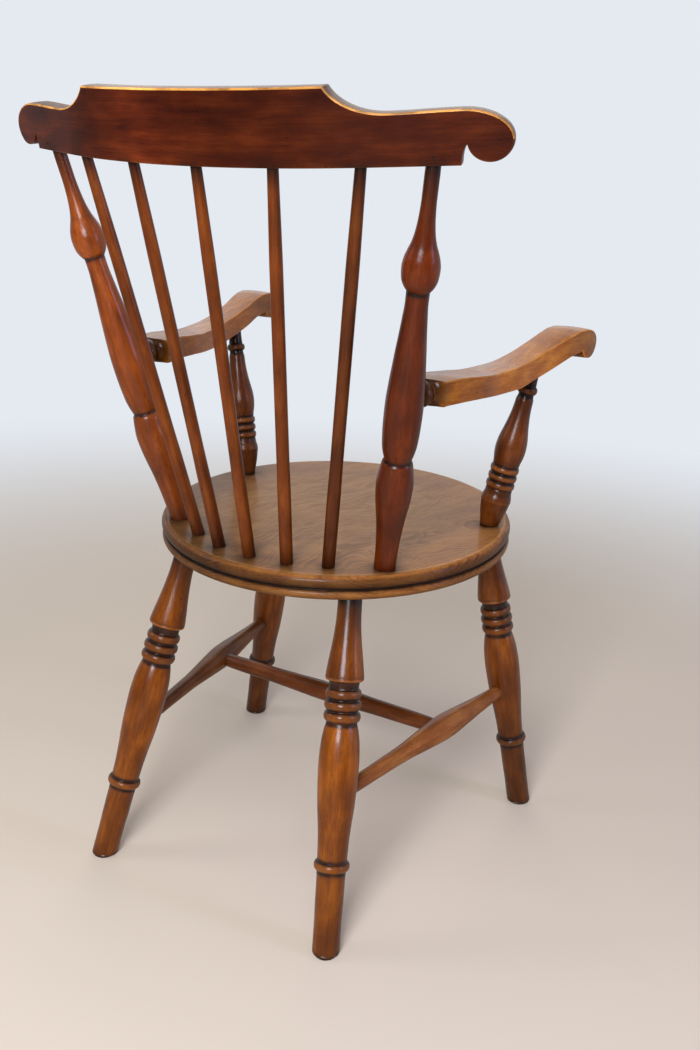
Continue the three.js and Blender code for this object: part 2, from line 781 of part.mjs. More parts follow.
// Legs, with a socket each for their side stretcher
const legPlaces = [
  ["rear", rearLegBearing, rearLegSplay],
  ["front", frontLegBearing, frontLegSplay],
];
const sideStretchers = [];

for (const [sideName, side] of sides) {
  const joints = [];
  for (const [endName, bearing, splay] of legPlaces) {
    const head = onSeat(legCircle, bearing, side, -seatThickness);
    const along = new THREE.Vector3(side * splay.outward, splay.back, -splay.down).normalize();
    const foot = head.clone().addScaledVector(along, legLength);
    const leg = turnedPiece(`leg_${endName}_${sideName}`, legTurningShares, legRadius, legSides,
      head, foot, legSocketDepth, footFloorOverrun, timber(0x83401c, 0.3));
    seatCutters.push(socket(head, along.clone().negate(), legSocketDepth,
      legRadius * legTurningShares[0].run[0][1]));
    joints.push({ leg, point: head.clone().addScaledVector(along, sideStretcherDrop) });
  }
  const [rear, front] = joints;
  const along = front.point.clone().sub(rear.point).normalize();
  const legReach = radiusAt(legTurningShares, legRadius, sideStretcherDrop / legLength);
  const rearFace = rear.point.clone().addScaledVector(along, legReach);
  const frontFace = front.point.clone().addScaledVector(along, -legReach);
  const stretcher = turnedPiece(`side_stretcher_${sideName}`, sideStretcherTurningShares,
    sideStretcherRadius, stretcherSides, rearFace, frontFace, stretcherSocketDepth,
    stretcherSocketDepth, timber(0x7d3c1b, 0.32));
  const firstEnd = sideStretcherTurningShares[0].run[0];
  const lastEnd = sideStretcherTurningShares[0].run.at(-1);
  cut(rear.leg, [floor, socket(rearFace, along.clone().negate(), stretcherSocketDepth,
    sideStretcherRadius * firstEnd[1])]);
  cut(front.leg, [floor, socket(frontFace, along, stretcherSocketDepth,
    sideStretcherRadius * lastEnd[1])]);
  sideStretchers.push({ stretcher, middle: rearFace.clone().lerp(frontFace, crossStretcherShare) });
}
cut(seat, seatCutters);

// The cross stretcher joins the swells of the side stretchers
const [leftJoint, rightJoint] = sideStretchers;
const acrossTo = rightJoint.middle.clone().sub(leftJoint.middle).normalize();
const leftFace = leftJoint.middle.clone().addScaledVector(acrossTo, sideStretcherRadius);
const rightFace = rightJoint.middle.clone().addScaledVector(acrossTo, -sideStretcherRadius);
const crossEnd = crossStretcherRadius * crossStretcherTurningShares[0].run[0][1];
turnedPiece("cross_stretcher", crossStretcherTurningShares, crossStretcherRadius, stretcherSides,
  leftFace, rightFace, crossStretcherSocketDepth, crossStretcherSocketDepth, timber(0x6e3016, 0.34));
cut(leftJoint.stretcher, [
  socket(leftFace, acrossTo.clone().negate(), crossStretcherSocketDepth, crossEnd),
]);
cut(rightJoint.stretcher, [
  socket(rightFace, acrossTo, crossStretcherSocketDepth, crossEnd),
]);

// The chair stands with the origin under the middle of its bounding box
const object = new THREE.Group();
object.add(chair);
object.updateWorldMatrix(true, true);
const bounds = new THREE.Box3().setFromObject(object, true);
chair.position.y -= (bounds.min.y + bounds.max.y) / 2;

export default object;
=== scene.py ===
import json
import math

import bmesh
import bpy
import numpy as np
from mathutils import Matrix, Vector


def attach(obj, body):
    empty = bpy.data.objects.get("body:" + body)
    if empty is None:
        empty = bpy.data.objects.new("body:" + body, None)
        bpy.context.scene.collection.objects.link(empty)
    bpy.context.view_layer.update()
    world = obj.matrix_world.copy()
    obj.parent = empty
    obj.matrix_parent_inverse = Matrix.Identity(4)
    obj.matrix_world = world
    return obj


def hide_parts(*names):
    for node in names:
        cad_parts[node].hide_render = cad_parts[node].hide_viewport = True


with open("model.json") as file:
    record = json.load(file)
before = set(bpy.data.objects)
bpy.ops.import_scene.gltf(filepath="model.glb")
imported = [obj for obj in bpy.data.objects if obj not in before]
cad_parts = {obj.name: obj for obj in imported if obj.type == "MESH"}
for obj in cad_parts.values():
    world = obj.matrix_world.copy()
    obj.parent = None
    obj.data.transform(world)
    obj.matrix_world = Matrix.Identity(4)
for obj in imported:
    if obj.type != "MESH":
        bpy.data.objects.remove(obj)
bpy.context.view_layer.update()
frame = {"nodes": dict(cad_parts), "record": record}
millimetre = 0.001  # in metres
print("frame loaded:", len(frame["nodes"]), "nodes")

# The seat's frame: its origin is the middle of the top face, x is the sitter's left, y the
# back and z stands on the seat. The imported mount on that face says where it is.
seatFace = next(mount for mount in frame["record"]["mounts"] if mount["name"] == "seat_face")
seatOrigin = np.array(seatFace["pos_m"])
seatUp = np.array(seatFace["axis"]) / np.linalg.norm(seatFace["axis"])
seatAcross = np.array([1.0, 0.0, 0.0])
seatBack = np.cross(seatUp, seatAcross)
sides = [(0, "left", 1), (1, "right", -1)]


# turns seat-frame millimetres into the row's metres: the origin plus each length along its axis
def toRow(points):
    points = np.asarray(points, float) * millimetre
    return (seatOrigin + points[..., 0:1] * seatAcross + points[..., 1:2] * seatBack
            + points[..., 2:3] * seatUp)


# a vector over its own length
def unit(vector):
    vector = np.asarray(vector, float)
    return vector / np.linalg.norm(vector)


# 0 below the first value, 1 above the second, and 3t^2 - 2t^3 between them
def ease(values, first, second):
    share = np.clip((np.asarray(values, float) - first) / (second - first), 0, 1)
    return share * share * (3 - 2 * share)


# a bell curve round the middle: e to the minus square of the distance over the reach
def bell(values, middle, reach):
    return np.exp(-((values - middle) / reach) ** 2)


# 1 up to zero, and from there e to the minus distance over the reach
def fading(distance, reach):
    return np.exp(-np.clip(distance, 0, None) / reach)


# a cubic through a few points that never overshoots: each inner slope is the harmonic mean of
# its neighbours' rises, or zero where they turn
def smoothThrough(points, at):
    x, y = np.array(points, float).T
    step = np.diff(x)
    rise = np.diff(y) / step
    slope = np.empty(len(x))
    slope[0], slope[-1] = rise[0], rise[-1]
    if len(x) > 2:
        product = rise[:-1] * rise[1:]
        total = np.where(product > 0, rise[:-1] + rise[1:], 1)
        slope[1:-1] = np.where(product > 0, 2 * product / total, 0)
    at = np.asarray(at, float)
    cell = np.clip(np.searchsorted(x, at, side="right") - 1, 0, len(step) - 1)
    share = np.clip((at - x[cell]) / step[cell], 0, 1)
    square, cube = share ** 2, share ** 3
    return (y[cell] * (2 * cube - 3 * square + 1) + y[cell + 1] * (3 * square - 2 * cube)
            + step[cell] * (slope[cell] * (cube - 2 * square + share) + slope[cell + 1] * (cube - square)))


foldGap = 2e-6  # metres: points of a folded end that are closer than this are one point


# puts a named thing in the scene
def addObject(name, data):
    thing = bpy.data.objects.new(name, data)
    bpy.context.scene.collection.objects.link(thing)
    return thing


# puts a grid of points into a mesh: rows go along the piece and columns close round it. A fan
# of triangles closes an end, and a folded end closes where its points meet in pairs
def gridMesh(name, points, values, material, closeFirst="fan", closeLast="fan"):
    rows, columns = points.shape[:2]
    index = np.arange(rows * columns).reshape(rows, columns)
    here, above = index[:-1], index[1:]
    quads = np.stack([here, np.roll(here, -1, 1), np.roll(above, -1, 1), above], -1).reshape(-1, 4)
    places = [points.reshape(-1, 3)]
    kept = {key: [array.reshape(rows * columns, -1)] for key, array in values.items()}
    fans = []
    for close, row, flip in ((closeFirst, 0, 1), (closeLast, -1, -1)):
        if close == "fan":
            middle = np.full(columns, sum(len(block) for block in places))
            fans.append(np.stack([middle, np.roll(index[row], -1), index[row]], -1)[:, ::flip])
            places.append(points[row].mean(0, keepdims=True))
            for key, array in values.items():
                kept[key].append(array.reshape(rows, columns, -1)[row].mean(0, keepdims=True))
    places = np.concatenate(places)
    triangles = np.concatenate(fans) if fans else np.empty((0, 3), int)
    halves = np.concatenate([quads[:, [0, 1, 2]], quads[:, [0, 2, 3]], triangles])
    a, b, c = (places[halves[:, corner]] for corner in range(3))
    if np.einsum("ij,ij->i", a, np.cross(b, c)).sum() < 0:
        quads, triangles = quads[:, ::-1], triangles[:, ::-1]
    mesh = bpy.data.meshes.new(name)
    mesh.from_pydata(places.tolist(), [], quads.tolist() + triangles.tolist())
    for key, blocks in kept.items():
        block = np.concatenate(blocks)
        kind, field = ("FLOAT_VECTOR", "vector") if block.shape[1] == 3 else ("FLOAT", "value")
        mesh.attributes.new(key, kind, "POINT").data.foreach_set(field, block.ravel().astype(np.float32))
    if "fold" in (closeFirst, closeLast):
        work = bmesh.new()
        work.from_mesh(mesh)
        bmesh.ops.remove_doubles(work, verts=work.verts, dist=foldGap)
        work.to_mesh(mesh)
        work.free()
    mesh.polygons.foreach_set("use_smooth", np.ones(len(mesh.polygons), bool))
    mesh.materials.append(material)
    return addObject(name, mesh)


# hides the node that a finished piece stands for, and hangs the piece from the root
def settle(piece, node):
    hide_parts(node)
    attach(piece, "root")


# Wood finishes. Every piece carries the same five values: grainPlace is the place in its own
# plank or billet in metres with z along the grain, wear is where hands and cloths have rubbed
# the colour off, worn is where the finish has gone grey, grime is where dirt has stayed and also
# painted shade in grooves, on the flanks of beads and at ends under other parts, and shade is
# how light the stain has come out together with painted light and shade: parts made lighter or
# darker for how the light fell on them.

# a colour as it is seen, 0 to 255, as the light that a shader wants: its share over 12.92 when
# it is very dark, and else the share plus 0.055, over 1.055, to the power 2.4
def paint(red, green, blue):
    share = np.array([red, green, blue]) / 255
    light = np.where(share <= 0.04045, share / 12.92, ((share + 0.055) / 1.055) ** 2.4)
    return (*light.tolist(), 1.0)


# a material or world with an empty node tree
def emptyTree(owner):
    owner.use_nodes = True
    owner.node_tree.nodes.clear()
    return owner.node_tree


# adds a node: an output is linked to its socket, and anything else is written on it
def addNode(tree, kind, sockets, **settings):
    node = tree.nodes.new("ShaderNode" + kind)
    for key, value in settings.items():
        setattr(node, key, value)
    for key, value in sockets.items():
        if isinstance(value, bpy.types.NodeSocket):
            tree.links.new(value, node.inputs[key])
        else:
            node.inputs[key].default_value = value
    return node


# a value that the mesh carries at its points
def attribute(tree, key, output):
    return addNode(tree, "Attribute", {}, attribute_name=key).outputs[output]


# one sum on values in a shader
def maths(tree, operation, *values, **settings):
    return addNode(tree, "Math", dict(enumerate(values)), operation=operation, **settings).outputs[0]


# noise drawn out along the grain: so many patches a metre across it and along it
def grainNoise(tree, place, across, along, detail):
    drawn = addNode(tree, "Mapping", {"Vector": place, "Scale": (across, across, along)})
    return addNode(tree, "TexNoise", {"Vector": drawn.outputs[0], "Scale": 1.0,
                                      "Detail": detail}).outputs[0]


# 0 below the low value, 1 above the high one and a smooth step between
def level(tree, value, low, high):
    return addNode(tree, "MapRange", {"Value": value, "From Min": low, "From Max": high},
                   interpolation_type="SMOOTHSTEP").outputs[0]


# a start plus each value times its weight
def total(tree, start, *terms):
    for value, weight in terms:
        start = maths(tree, "MULTIPLY_ADD", value, weight, start)
    return start


# one value times another, kept between 0 and 1
def product(tree, first, second):
    return maths(tree, "MULTIPLY", first, second, use_clamp=True)


# the second colour over the first by a share, or multiplied into it
def mixed(tree, share, first, second, way="MIX"):
    return addNode(tree, "Mix", {0: share, 6: first, 7: second}, data_type="RGBA",
                   blend_type=way).outputs[2]


# What all timbers share. A mark is a noise: its patches a metre across and along the grain, how
# finely it is broken, and for some the levels from which it shows and at which it is full.
grain = {
    "marks": {
        "streaks": (180, 11, 3), "fibres": (800, 38, 2), "mottle": (44, 20, 3), "nicks": (230, 150, 1),
        "pores": (1500, 120, 1, 0.6, 0.72), "patches": (70, 48, 3, 0.34, 0.66),
        "ringGaps": (34, 9, 2, 0.3, 0.68), "lines": (330, 9, 3, 0.38, 0.62)},
    "nickSoftness": 0.05, "nickShare": 0.8, "ringWander": 2.6, "ringDetail": 3, "ringScale": 1.4,
    "brownsAt": (0.2, 0.5, 0.8), "greyLevels": (0.36, 0.62), "poreHeight": 0.0004,
    "waver": {"scale": 55, "share": 0.3, "height": 0.0008},
}


# one timber from its look. The tone is a middle value plus streaks, fibres, growth rings and
# slow mottling, read off a scale of three browns. Pores and nicks darken it, then grey where it
# is worn, the edges' bare colour and a near-black for grime and painted shade are mixed over it
# by their shares, and the whole is multiplied by the shade, which holds painted light and shade.
# The bump is the open grain over a slightly uneven polish
def timber(name, look):
    material = bpy.data.materials.new(name)
    tree = emptyTree(material)
    plain = attribute(tree, "grainPlace", "Vector")
    wander = addNode(tree, "TexNoise", {"Vector": plain, "Scale": look["wanderScale"],
                                        "Detail": 2.0}).outputs[1]
    place = addNode(tree, "VectorMath", {0: wander, 1: (look["wander"], look["wander"], 0.0), 2: plain},
                    operation="MULTIPLY_ADD").outputs[0]

    # one of the shared marks, at a place in the wood
    def mark(key, where):
        across, along, detail, *levels = grain["marks"][key]
        noise = grainNoise(tree, where, across, along, detail)
        return level(tree, noise, *levels) if levels else noise

    streaks, fibres, pores, lines = (mark(key, place) for key in ("streaks", "fibres", "pores", "lines"))
    mottle, patches, nicks = (mark(key, plain) for key in ("mottle", "patches", "nicks"))
    nicks = level(tree, nicks, look["nickFrom"], look["nickFrom"] + grain["nickSoftness"])
    drawn = addNode(tree, "Mapping", {"Vector": place, "Location": look["pith"],
                                      "Scale": (1.0, 1.0, look["ringRun"])})
    rings = addNode(tree, "TexWave", {
        "Vector": drawn.outputs[0], "Scale": look["ringScale"], "Distortion": grain["ringWander"],
        "Detail": grain["ringDetail"], "Detail Scale": grain["ringScale"]},
        wave_type="RINGS", rings_direction="Z", wave_profile="SAW").outputs[1]
    rings = product(tree, rings, mark("ringGaps", place))
    streakShare, fibreShare, ringShare, mottleShare = look["weights"]
    middle = 0.5 - (streakShare + fibreShare + mottleShare) / 2 + ringShare / 3
    tone = total(tree, middle, (streaks, streakShare), (fibres, fibreShare), (rings, -ringShare),
                 (mottle, mottleShare))
    scale = addNode(tree, "ValToRGB", {0: tone})
    scale.color_ramp.elements.new(grain["brownsAt"][1])
    for stop, at, brown in zip(scale.color_ramp.elements, grain["brownsAt"], look["browns"]):
        stop.position, stop.color = at, paint(*brown)
    marks = maths(tree, "MAXIMUM", product(tree, pores, look["pores"]),
                  product(tree, nicks, grain["nickShare"]))
    colour = mixed(tree, marks, scale.outputs[0], paint(*look["browns"][0]))
    wear, worn, grimeAndShade, shade = (attribute(tree, key, "Fac") for key in ("wear", "worn", "grimeAndShade", "shade"))

    greyed = product(tree, worn, total(tree, 1.05 - look["wornPatch"],
                                       (level(tree, mottle, *grain["greyLevels"]), look["wornPatch"])))
    byGrain = look["wornGrain"]
    greyTone = product(tree, 1.0, total(tree, -0.25 * byGrain, (patches, 1.0 - byGrain),
                                        (rings, 0.8 * byGrain), (lines, 0.9 * byGrain)))
    colour = mixed(tree, product(tree, greyed, look["wornShare"]), colour,
                   mixed(tree, greyTone, paint(*look["worn"]), paint(*look["wornDark"])))
    rubbed = product(tree, wear, total(tree, 0.5, (patches, 0.7)))
    colour = mixed(tree, product(tree, rubbed, look["edgeShare"]), colour, paint(*look["edge"]))
    # dirt together with painted shade in grooves, creases and under other parts, mixed in as a near-black
    dirtAndShade = product(tree, grimeAndShade, total(tree, 0.86, (patches, 0.3)))
    colour = mixed(tree, product(tree, dirtAndShade, look["grimeAndShadeShare"]), colour, paint(*look["grimeAndShade"]))
    # the shade multiplies in painted light and shade as well as the stain's own depth
    colour = mixed(tree, 1.0, colour, shade, "MULTIPLY")

    rough = total(tree, look["roughness"], (dirtAndShade, 0.22), (greyed, 0.12), (mottle, 0.1), (pores, 0.1))
    height = total(tree, 0.0, (fibres, 0.3), (pores, -1.0), (rings, -0.35), (streaks, 0.4),
                   (nicks, -1.2))
    openGrain = addNode(tree, "Bump", {"Strength": look["bump"], "Distance": grain["poreHeight"],
                                       "Height": height}).outputs[0]
    waver = addNode(tree, "TexNoise", {"Vector": plain, "Scale": grain["waver"]["scale"],
                                       "Detail": 1.0}).outputs[0]
    film = addNode(tree, "Bump", {"Strength": grain["waver"]["share"], "Distance": grain["waver"]["height"],
                                  "Height": waver, "Normal": openGrain})
    shader = addNode(tree, "BsdfPrincipled", {
        "Base Color": colour, "Roughness": rough, "Normal": film.outputs[0],
        "Specular IOR Level": look["specular"], "Coat Weight": look["coat"],
        "Coat Roughness": look["coatRoughness"]})
    addNode(tree, "OutputMaterial", {"Surface": shader.outputs[0]})
    return material


# what the finishes share, and what each piece's own has instead
plainLook = {
    "browns": ((74, 31, 8), (116, 56, 15), (148, 79, 26)),
    # the grime colour is a near-black used for dirt and for painted shade in creases
    "edge": (176, 104, 44), "worn": (150, 124, 102), "wornDark": (112, 88, 70), "grimeAndShade": (22, 11, 7),
    "weights": (0.36, 0.3, 0.06, 0.75), "pores": 0.4, "wander": 0.006, "wanderScale": 7,
    "pith": (0.11, 0.03, 0), "ringRun": 0.05, "ringScale": 70,
    "edgeShare": 0.42, "wornShare": 0.9, "wornPatch": 0.6, "wornGrain": 0.2, "grimeAndShadeShare": 0.94,
    "nickFrom": 0.745, "specular": 0.05, "roughness": 0.34, "bump": 0.24, "coat": 0.6,
    "coatRoughness": 0.24,
}
looks = {
    "legs": {"browns": ((60, 26, 1), (104, 50, 2), (147, 80, 8)), "edgeShare": 0.32,
             "coat": 0.48},
    # two copies of the post's finish, the left yellower and the right redder, matched to how the lit left
    # post and the shaded right post looked: partly painted light and shade
    "leftPost": {"browns": ((54, 20, 3), (96, 42, 8), (135, 66, 17)), "coat": 0.45},
    "rightPost": {"browns": ((54, 16, 1), (97, 35, 2), (135, 55, 6)), "coat": 0.36},
    "supports": {"browns": ((50, 20, 4), (90, 42, 8), (134, 71, 18)), "edgeShare": 0.5,
                 "coat": 0.38},
    "spindles": {"browns": ((62, 25, 3), (104, 47, 8), (136, 70, 18)), "coat": 0.3,
                 "roughness": 0.4},
    "side_stretchers": {"browns": ((76, 38, 13), (126, 70, 28), (162, 104, 52)),
                        "coat": 0.3, "roughness": 0.4},
    "cross_stretcher": {"browns": ((52, 25, 9), (90, 44, 16), (124, 68, 27)),
                        "coat": 0.3, "roughness": 0.4},
    "crest": {"browns": ((40, 10, 4), (63, 21, 6), (87, 34, 10)),
              "edge": (224, 156, 74), "worn": (118, 96, 76), "wornDark": (92, 70, 54),
              "weights": (0.5, 0.3, 0.06, 1), "edgeShare": 0.95, "pith": (0.2, -0.12, 0),
              "specular": 0.04, "coat": 0.2, "coatRoughness": 0.16},
    "arms": {"browns": ((108, 54, 8), (160, 90, 20), (196, 125, 40)),
             "edge": (220, 152, 68), "worn": (146, 102, 54), "wornDark": (102, 65, 32),
             "weights": (0.45, 0.4, 0.08, 0.9), "pores": 0.5, "pith": (0.03, -0.07, 0),
             "ringScale": 62, "bump": 0.32, "coat": 0.27, "coatRoughness": 0.16},
    "seat": {"browns": ((88, 47, 16), (134, 80, 33), (162, 106, 50)),
             "edge": (212, 150, 82), "worn": (175, 133, 87), "wornDark": (136, 95, 55),
             "grimeAndShade": (30, 17, 10), "weights": (0.42, 0.45, 0.42, 0.42), "pores": 0.85,
             "pith": (0.10, 0.085, 0), "wander": 0.09, "wanderScale": 6, "ringRun": 0.16,
             "ringScale": 92, "roughness": 0.46, "bump": 0.42, "coat": 0.18,
             "coatRoughness": 0.2, "edgeShare": 0.7, "wornPatch": 0.2, "wornShare": 0.72,
             "wornGrain": 0.7, "nickFrom": 0.76, "specular": 0.08},
    "pins": {"browns": ((20, 9, 6), (38, 18, 10), (62, 30, 16)), "coat": 0.1},
}
finishes = {name: timber(name, {**plainLook, **look}) for name, look in looks.items()}
print("finishes made:", len(finishes))


# What all turned pieces share: the rows of their outlines, and how proud and sunk places wear
# and hold dirt and painted shade, unless a piece's own settings say otherwise. Lengths along are
# in millimetres.
turning = {
    "runStep": 1.6, "beadRows": 13, "softStep": 0.5, "reliefReach": 3.2, "busyReach": 5,
    "busyFrom": 0.3, "busyTo": 0.7, "flank": 0.85, "crownProud": 1.1, "flankPower": 0.7,
    "proudFull": 0.9, "wearPower": 2.2, "sunkFull": 0.55, "sunk": (5, 5), "oval": 0.006,
    "ovalTurn": math.radians(37), "plankStep": (0.31, 0.17, 0.53), "shade": [(0, 1), (1, 1)],
}


# a turner's outline from its stretches, as places along the axis and radii. A run is a smooth
# line through its points, and a bead is half an ellipse: edge + (crown - edge) sin t
def turnedOutline(stretches):
    parts = []
    for kind, *sizes in stretches:
        if kind == "bead":
            start, end, edge, crown = sizes
            turn = np.linspace(0, math.pi, turning["beadRows"])
            along = (start + end) / 2 - (end - start) / 2 * np.cos(turn)
            radius = edge + (crown - edge) * np.sin(turn)
        else:
            rows = max(2, round((sizes[-1][0] - sizes[0][0]) / turning["runStep"]) + 1)
            along = np.linspace(sizes[0][0], sizes[-1][0], rows)
            radius = smoothThrough(sizes, along)
        parts.append(np.stack([along, radius], 1))
    return np.concatenate(parts)


# the average of a line of values along a piece under a bell curve of a few millimetres
def softened(along, values, reach):
    step = turning["softStep"]
    fine = np.arange(along[0], along[-1] + step, step)
    line = np.interp(fine, along, values)
    span = np.arange(-3 * reach, 3 * reach + step, step)
    weight = np.exp(-(span / reach) ** 2 / 2)
    padded = np.pad(line, len(span) // 2, mode="edge")
    soft = np.convolve(padded, weight / weight.sum(), "valid")[:len(fine)]
    return np.interp(along, fine, soft)


# two directions square to an axis and to each other
def squareTo(axis):
    first = unit(np.cross(axis, (0.0, 1.0, 0.0) if abs(axis[1]) < 0.9 else (1.0, 0.0, 0.0)))
    return first, np.cross(axis, first)


# a turned piece: rings of the outline's radii square to an axis, very slightly oval as dried
# timber is. Its ends are sunk a little into what they enter and darken towards it: dirt at the
# joint, and at the legs' heads under the seat painted shadow as well. A place is proud by its
# radius less the soft average round it: wear is its share of a full height to a power, and grime
# is the share that it is sunk, dirt and painted shade in the grooves, plus a painted shade on the
# flanks of busy turning, where the creases between beads fall into shade.
# The seed is the piece's number: it turns the oval and says which billet the grain is from
def turnedPiece(start, axis, length, look, seed):
    look = {**turning, **look}
    outline = turnedOutline(look["outline"])
    along = outline[:, 0] * length / outline[-1, 0] if length else outline[:, 0]
    radius = outline[:, 1]
    first, last = look["sunk"]
    along = np.concatenate([[along[0] - first], along, [along[-1] + last]])
    radius = np.concatenate([radius[:1], radius, radius[-1:]])
    proud = radius - softened(along, radius, look["reliefReach"])
    angle = np.linspace(0, 2 * math.pi, look["columns"], endpoint=False)
    oval = 1 - look["oval"] * (1 - np.cos(2 * angle + look["ovalTurn"] * seed)) / 2
    across, other = squareTo(axis)
    ring = radius[:, None] * oval
    side, rise = ring * np.cos(angle), ring * np.sin(angle)
    points = (np.asarray(start) + along[:, None, None] * axis
              + side[..., None] * across + rise[..., None] * other)
    inner, outer = along[1], along[-2]
    # darkening towards both ends: dirt at the joints, and at the legs' heads under the seat also painted
    # shadow
    near = (fading(along - inner, look["dimReach"][0]) * look["dim"][0]
            + fading(outer - along, look["dimReach"][1]) * look["dim"][1])
    spread = np.ones(len(angle))
    shares = (along - along[0]) / (along[-1] - along[0])
    busy = ease(softened(along, np.abs(proud), look["busyReach"]), look["busyFrom"], look["busyTo"])
    # painted shade on the flanks of beads and collars, darkest low in each crease
    flank = busy * look["flank"] * np.clip(1 - proud / look["crownProud"], 0, 1) ** look["flankPower"]
    worn = np.clip(proud / look["proudFull"], 0, 1) ** look["wearPower"]
    sunk = np.clip(-proud / look["sunkFull"], 0, 1)
    values = {
        "shade": smoothThrough(look["shade"], shares)[:, None] * spread,
        "wear": worn[:, None] * spread,
        "grimeAndShade": np.clip(sunk + flank + near, 0, 1)[:, None] * spread,
        "worn": np.zeros((len(along), len(angle))),
        "grainPlace": np.stack([side, rise, along[:, None] * spread], -1) * millimetre
        + np.array(look["plankStep"]) * seed,
    }
    return points, values, along


# puts a turned piece in the scene, from where it starts and the way it runs
def addTurned(name, node, slot, *turned, finish=None):
    points, values, _ = turnedPiece(*turned)
    settle(gridMesh(name, toRow(points), values, finishes[finish or slot]), node)


# a place by its bearing from the middle of the seat's back: the radius times the sine across,
# and times the cosine back, as the frame's joints are laid out
def onSeat(radius, bearing, side, height):
    turn = math.radians(bearing)
    return np.array([side * radius * math.sin(turn), radius * math.cos(turn), height])


# The crest's board is bent to an arc in plan with straight ends, and leans back.
crest = {
    "bendRadius": 516, "bendHalf": 182, "lean": math.radians(8.5), "back": 272.2,
    "height": 428.4, "half": 11, "halfLength": 307, "centreHeight": 69.5, "plateau": 141,
    "earHeight": 45.8, "coveLength": 54, "coveShare": 0.931, "humpRise": 1.5, "humpLength": 45,
    "tipHeight": 21, "lobeHalf": 21, "lobeLift": 2.4, "notchWidth": 4.3,
    "notchTurn": math.radians(62), "notchHeightShare": 0.82, "shoulderFillet": 2.1,
    "cornerFillet": 1.2, "arris": 1.5, "lowArris": 0.7, "crown": 0.4, "postPlace": 235,
    "spindleStep": 84.7, "turnPoints": 25, "lobePoints": 56, "levelStep": 2, "softFrom": (1.9, 2.6),
    # the finish: dirt round the joints, and lights and darks as shares, places and reaches; the left end is
    # painted lighter as a painted sheen
    "spindleSmudge": 6.5, "postSmudge": 9, "smudgeReach": 5, "greyWave": 31,
    "glows": ((0.85, 62, 45), (-0.15, -120, 70)), "leftSheen": 0.2, "leftFrom": (120, 220),
    "tipsFrom": (250, 300), "plank": (1.3, 0.4, 2.1),
}
crestUp = np.array([0.0, math.sin(crest["lean"]), math.cos(crest["lean"])])
crestOut = np.array([0.0, math.cos(crest["lean"]), -math.sin(crest["lean"])])


# a place on that board: along its arc, up from its underside and back from its middle surface.
# The arc is r sin a across and r (cos a - 1) out, and beyond the bend it runs on straight
def onCrest(along, up, back):
    along, up, back = (np.asarray(value, float)[..., None] for value in (along, up, back))
    turn = np.sign(along) * np.minimum(np.abs(along), crest["bendHalf"]) / crest["bendRadius"]
    straight = along - turn * crest["bendRadius"]
    out = np.sin(turn) * seatAcross + np.cos(turn) * crestOut
    return (np.array([0.0, crest["back"], crest["height"]])
            + (crest["bendRadius"] * np.sin(turn) + straight * np.cos(turn)) * seatAcross
            + (crest["bendRadius"] * (np.cos(turn) - 1) - straight * np.sin(turn)) * crestOut
            + out * back + crestUp * up)


# Back posts, from the crest's underside down to the seat
posts = {
    "circle": 200.4, "bearing": 47.2, "columns": 64, "dim": (0.8, 0.6), "dimReach": (20, 9),
    # the posts' shades are painted light and shade: the left post, lit from the left, is made much lighter,
    # and the right post darker at its top under the crest and below its bulb, where shade falls
    "shades": {"left": [(0, 1.3), (0.3, 1.9), (0.5, 1.9), (0.62, 1.45), (0.88, 1.3), (1, 0.8)],
               "right": [(0, 0.42), (0.12, 0.7), (0.2, 0.9), (0.3, 0.62), (0.45, 0.72), (0.72, 0.68),
                         (0.85, 0.56), (0.93, 0.72), (1, 0.65)]},
    "outline": [
        ("run", (0, 7), (9, 7.2), (30, 7.2), (45, 7.85), (60, 9.5), (71.6, 12.1), (79, 14.9),
         (87, 17.5), (95, 18.7), (98.5, 18.65), (106.6, 17.75), (110.4, 16.5), (114.5, 14.4), (116, 13.2)),
        ("run", (118.5, 11.5), (130, 11.45), (147, 12.6), (164, 14), (181, 15.65), (198, 17.1),
         (216, 18.6), (239, 19.9), (252, 20.05), (267, 19.8), (286, 18.7), (295.6, 17.15), (302, 15.4),
         (306, 14.3)),
        ("run", (306.4, 14.6), (308.5, 16.3), (314, 17.6), (322, 18.9), (330, 20), (336, 20.3),
         (341, 20.1), (351, 19.55), (361, 18.6), (372, 17.2), (382, 15.9), (393, 14.8), (404, 13.9),
         (415, 13.2), (437, 12.5), (448.9, 12.5))],
}
postAxes = {}
for seed, sideName, side in sides:
    foot = onSeat(posts["circle"], posts["bearing"], side, 0.0)
    head = onCrest(side * crest["postPlace"], 0.0, 0.0)
    postAxes[sideName] = (foot, unit(head - foot))
    addTurned("turned_post_" + sideName, "back_post_" + sideName, "posts", head, unit(foot - head),
              np.linalg.norm(foot - head), {**posts, "shade": posts["shades"][sideName]}, seed + 1,
              finish=sideName + "Post")

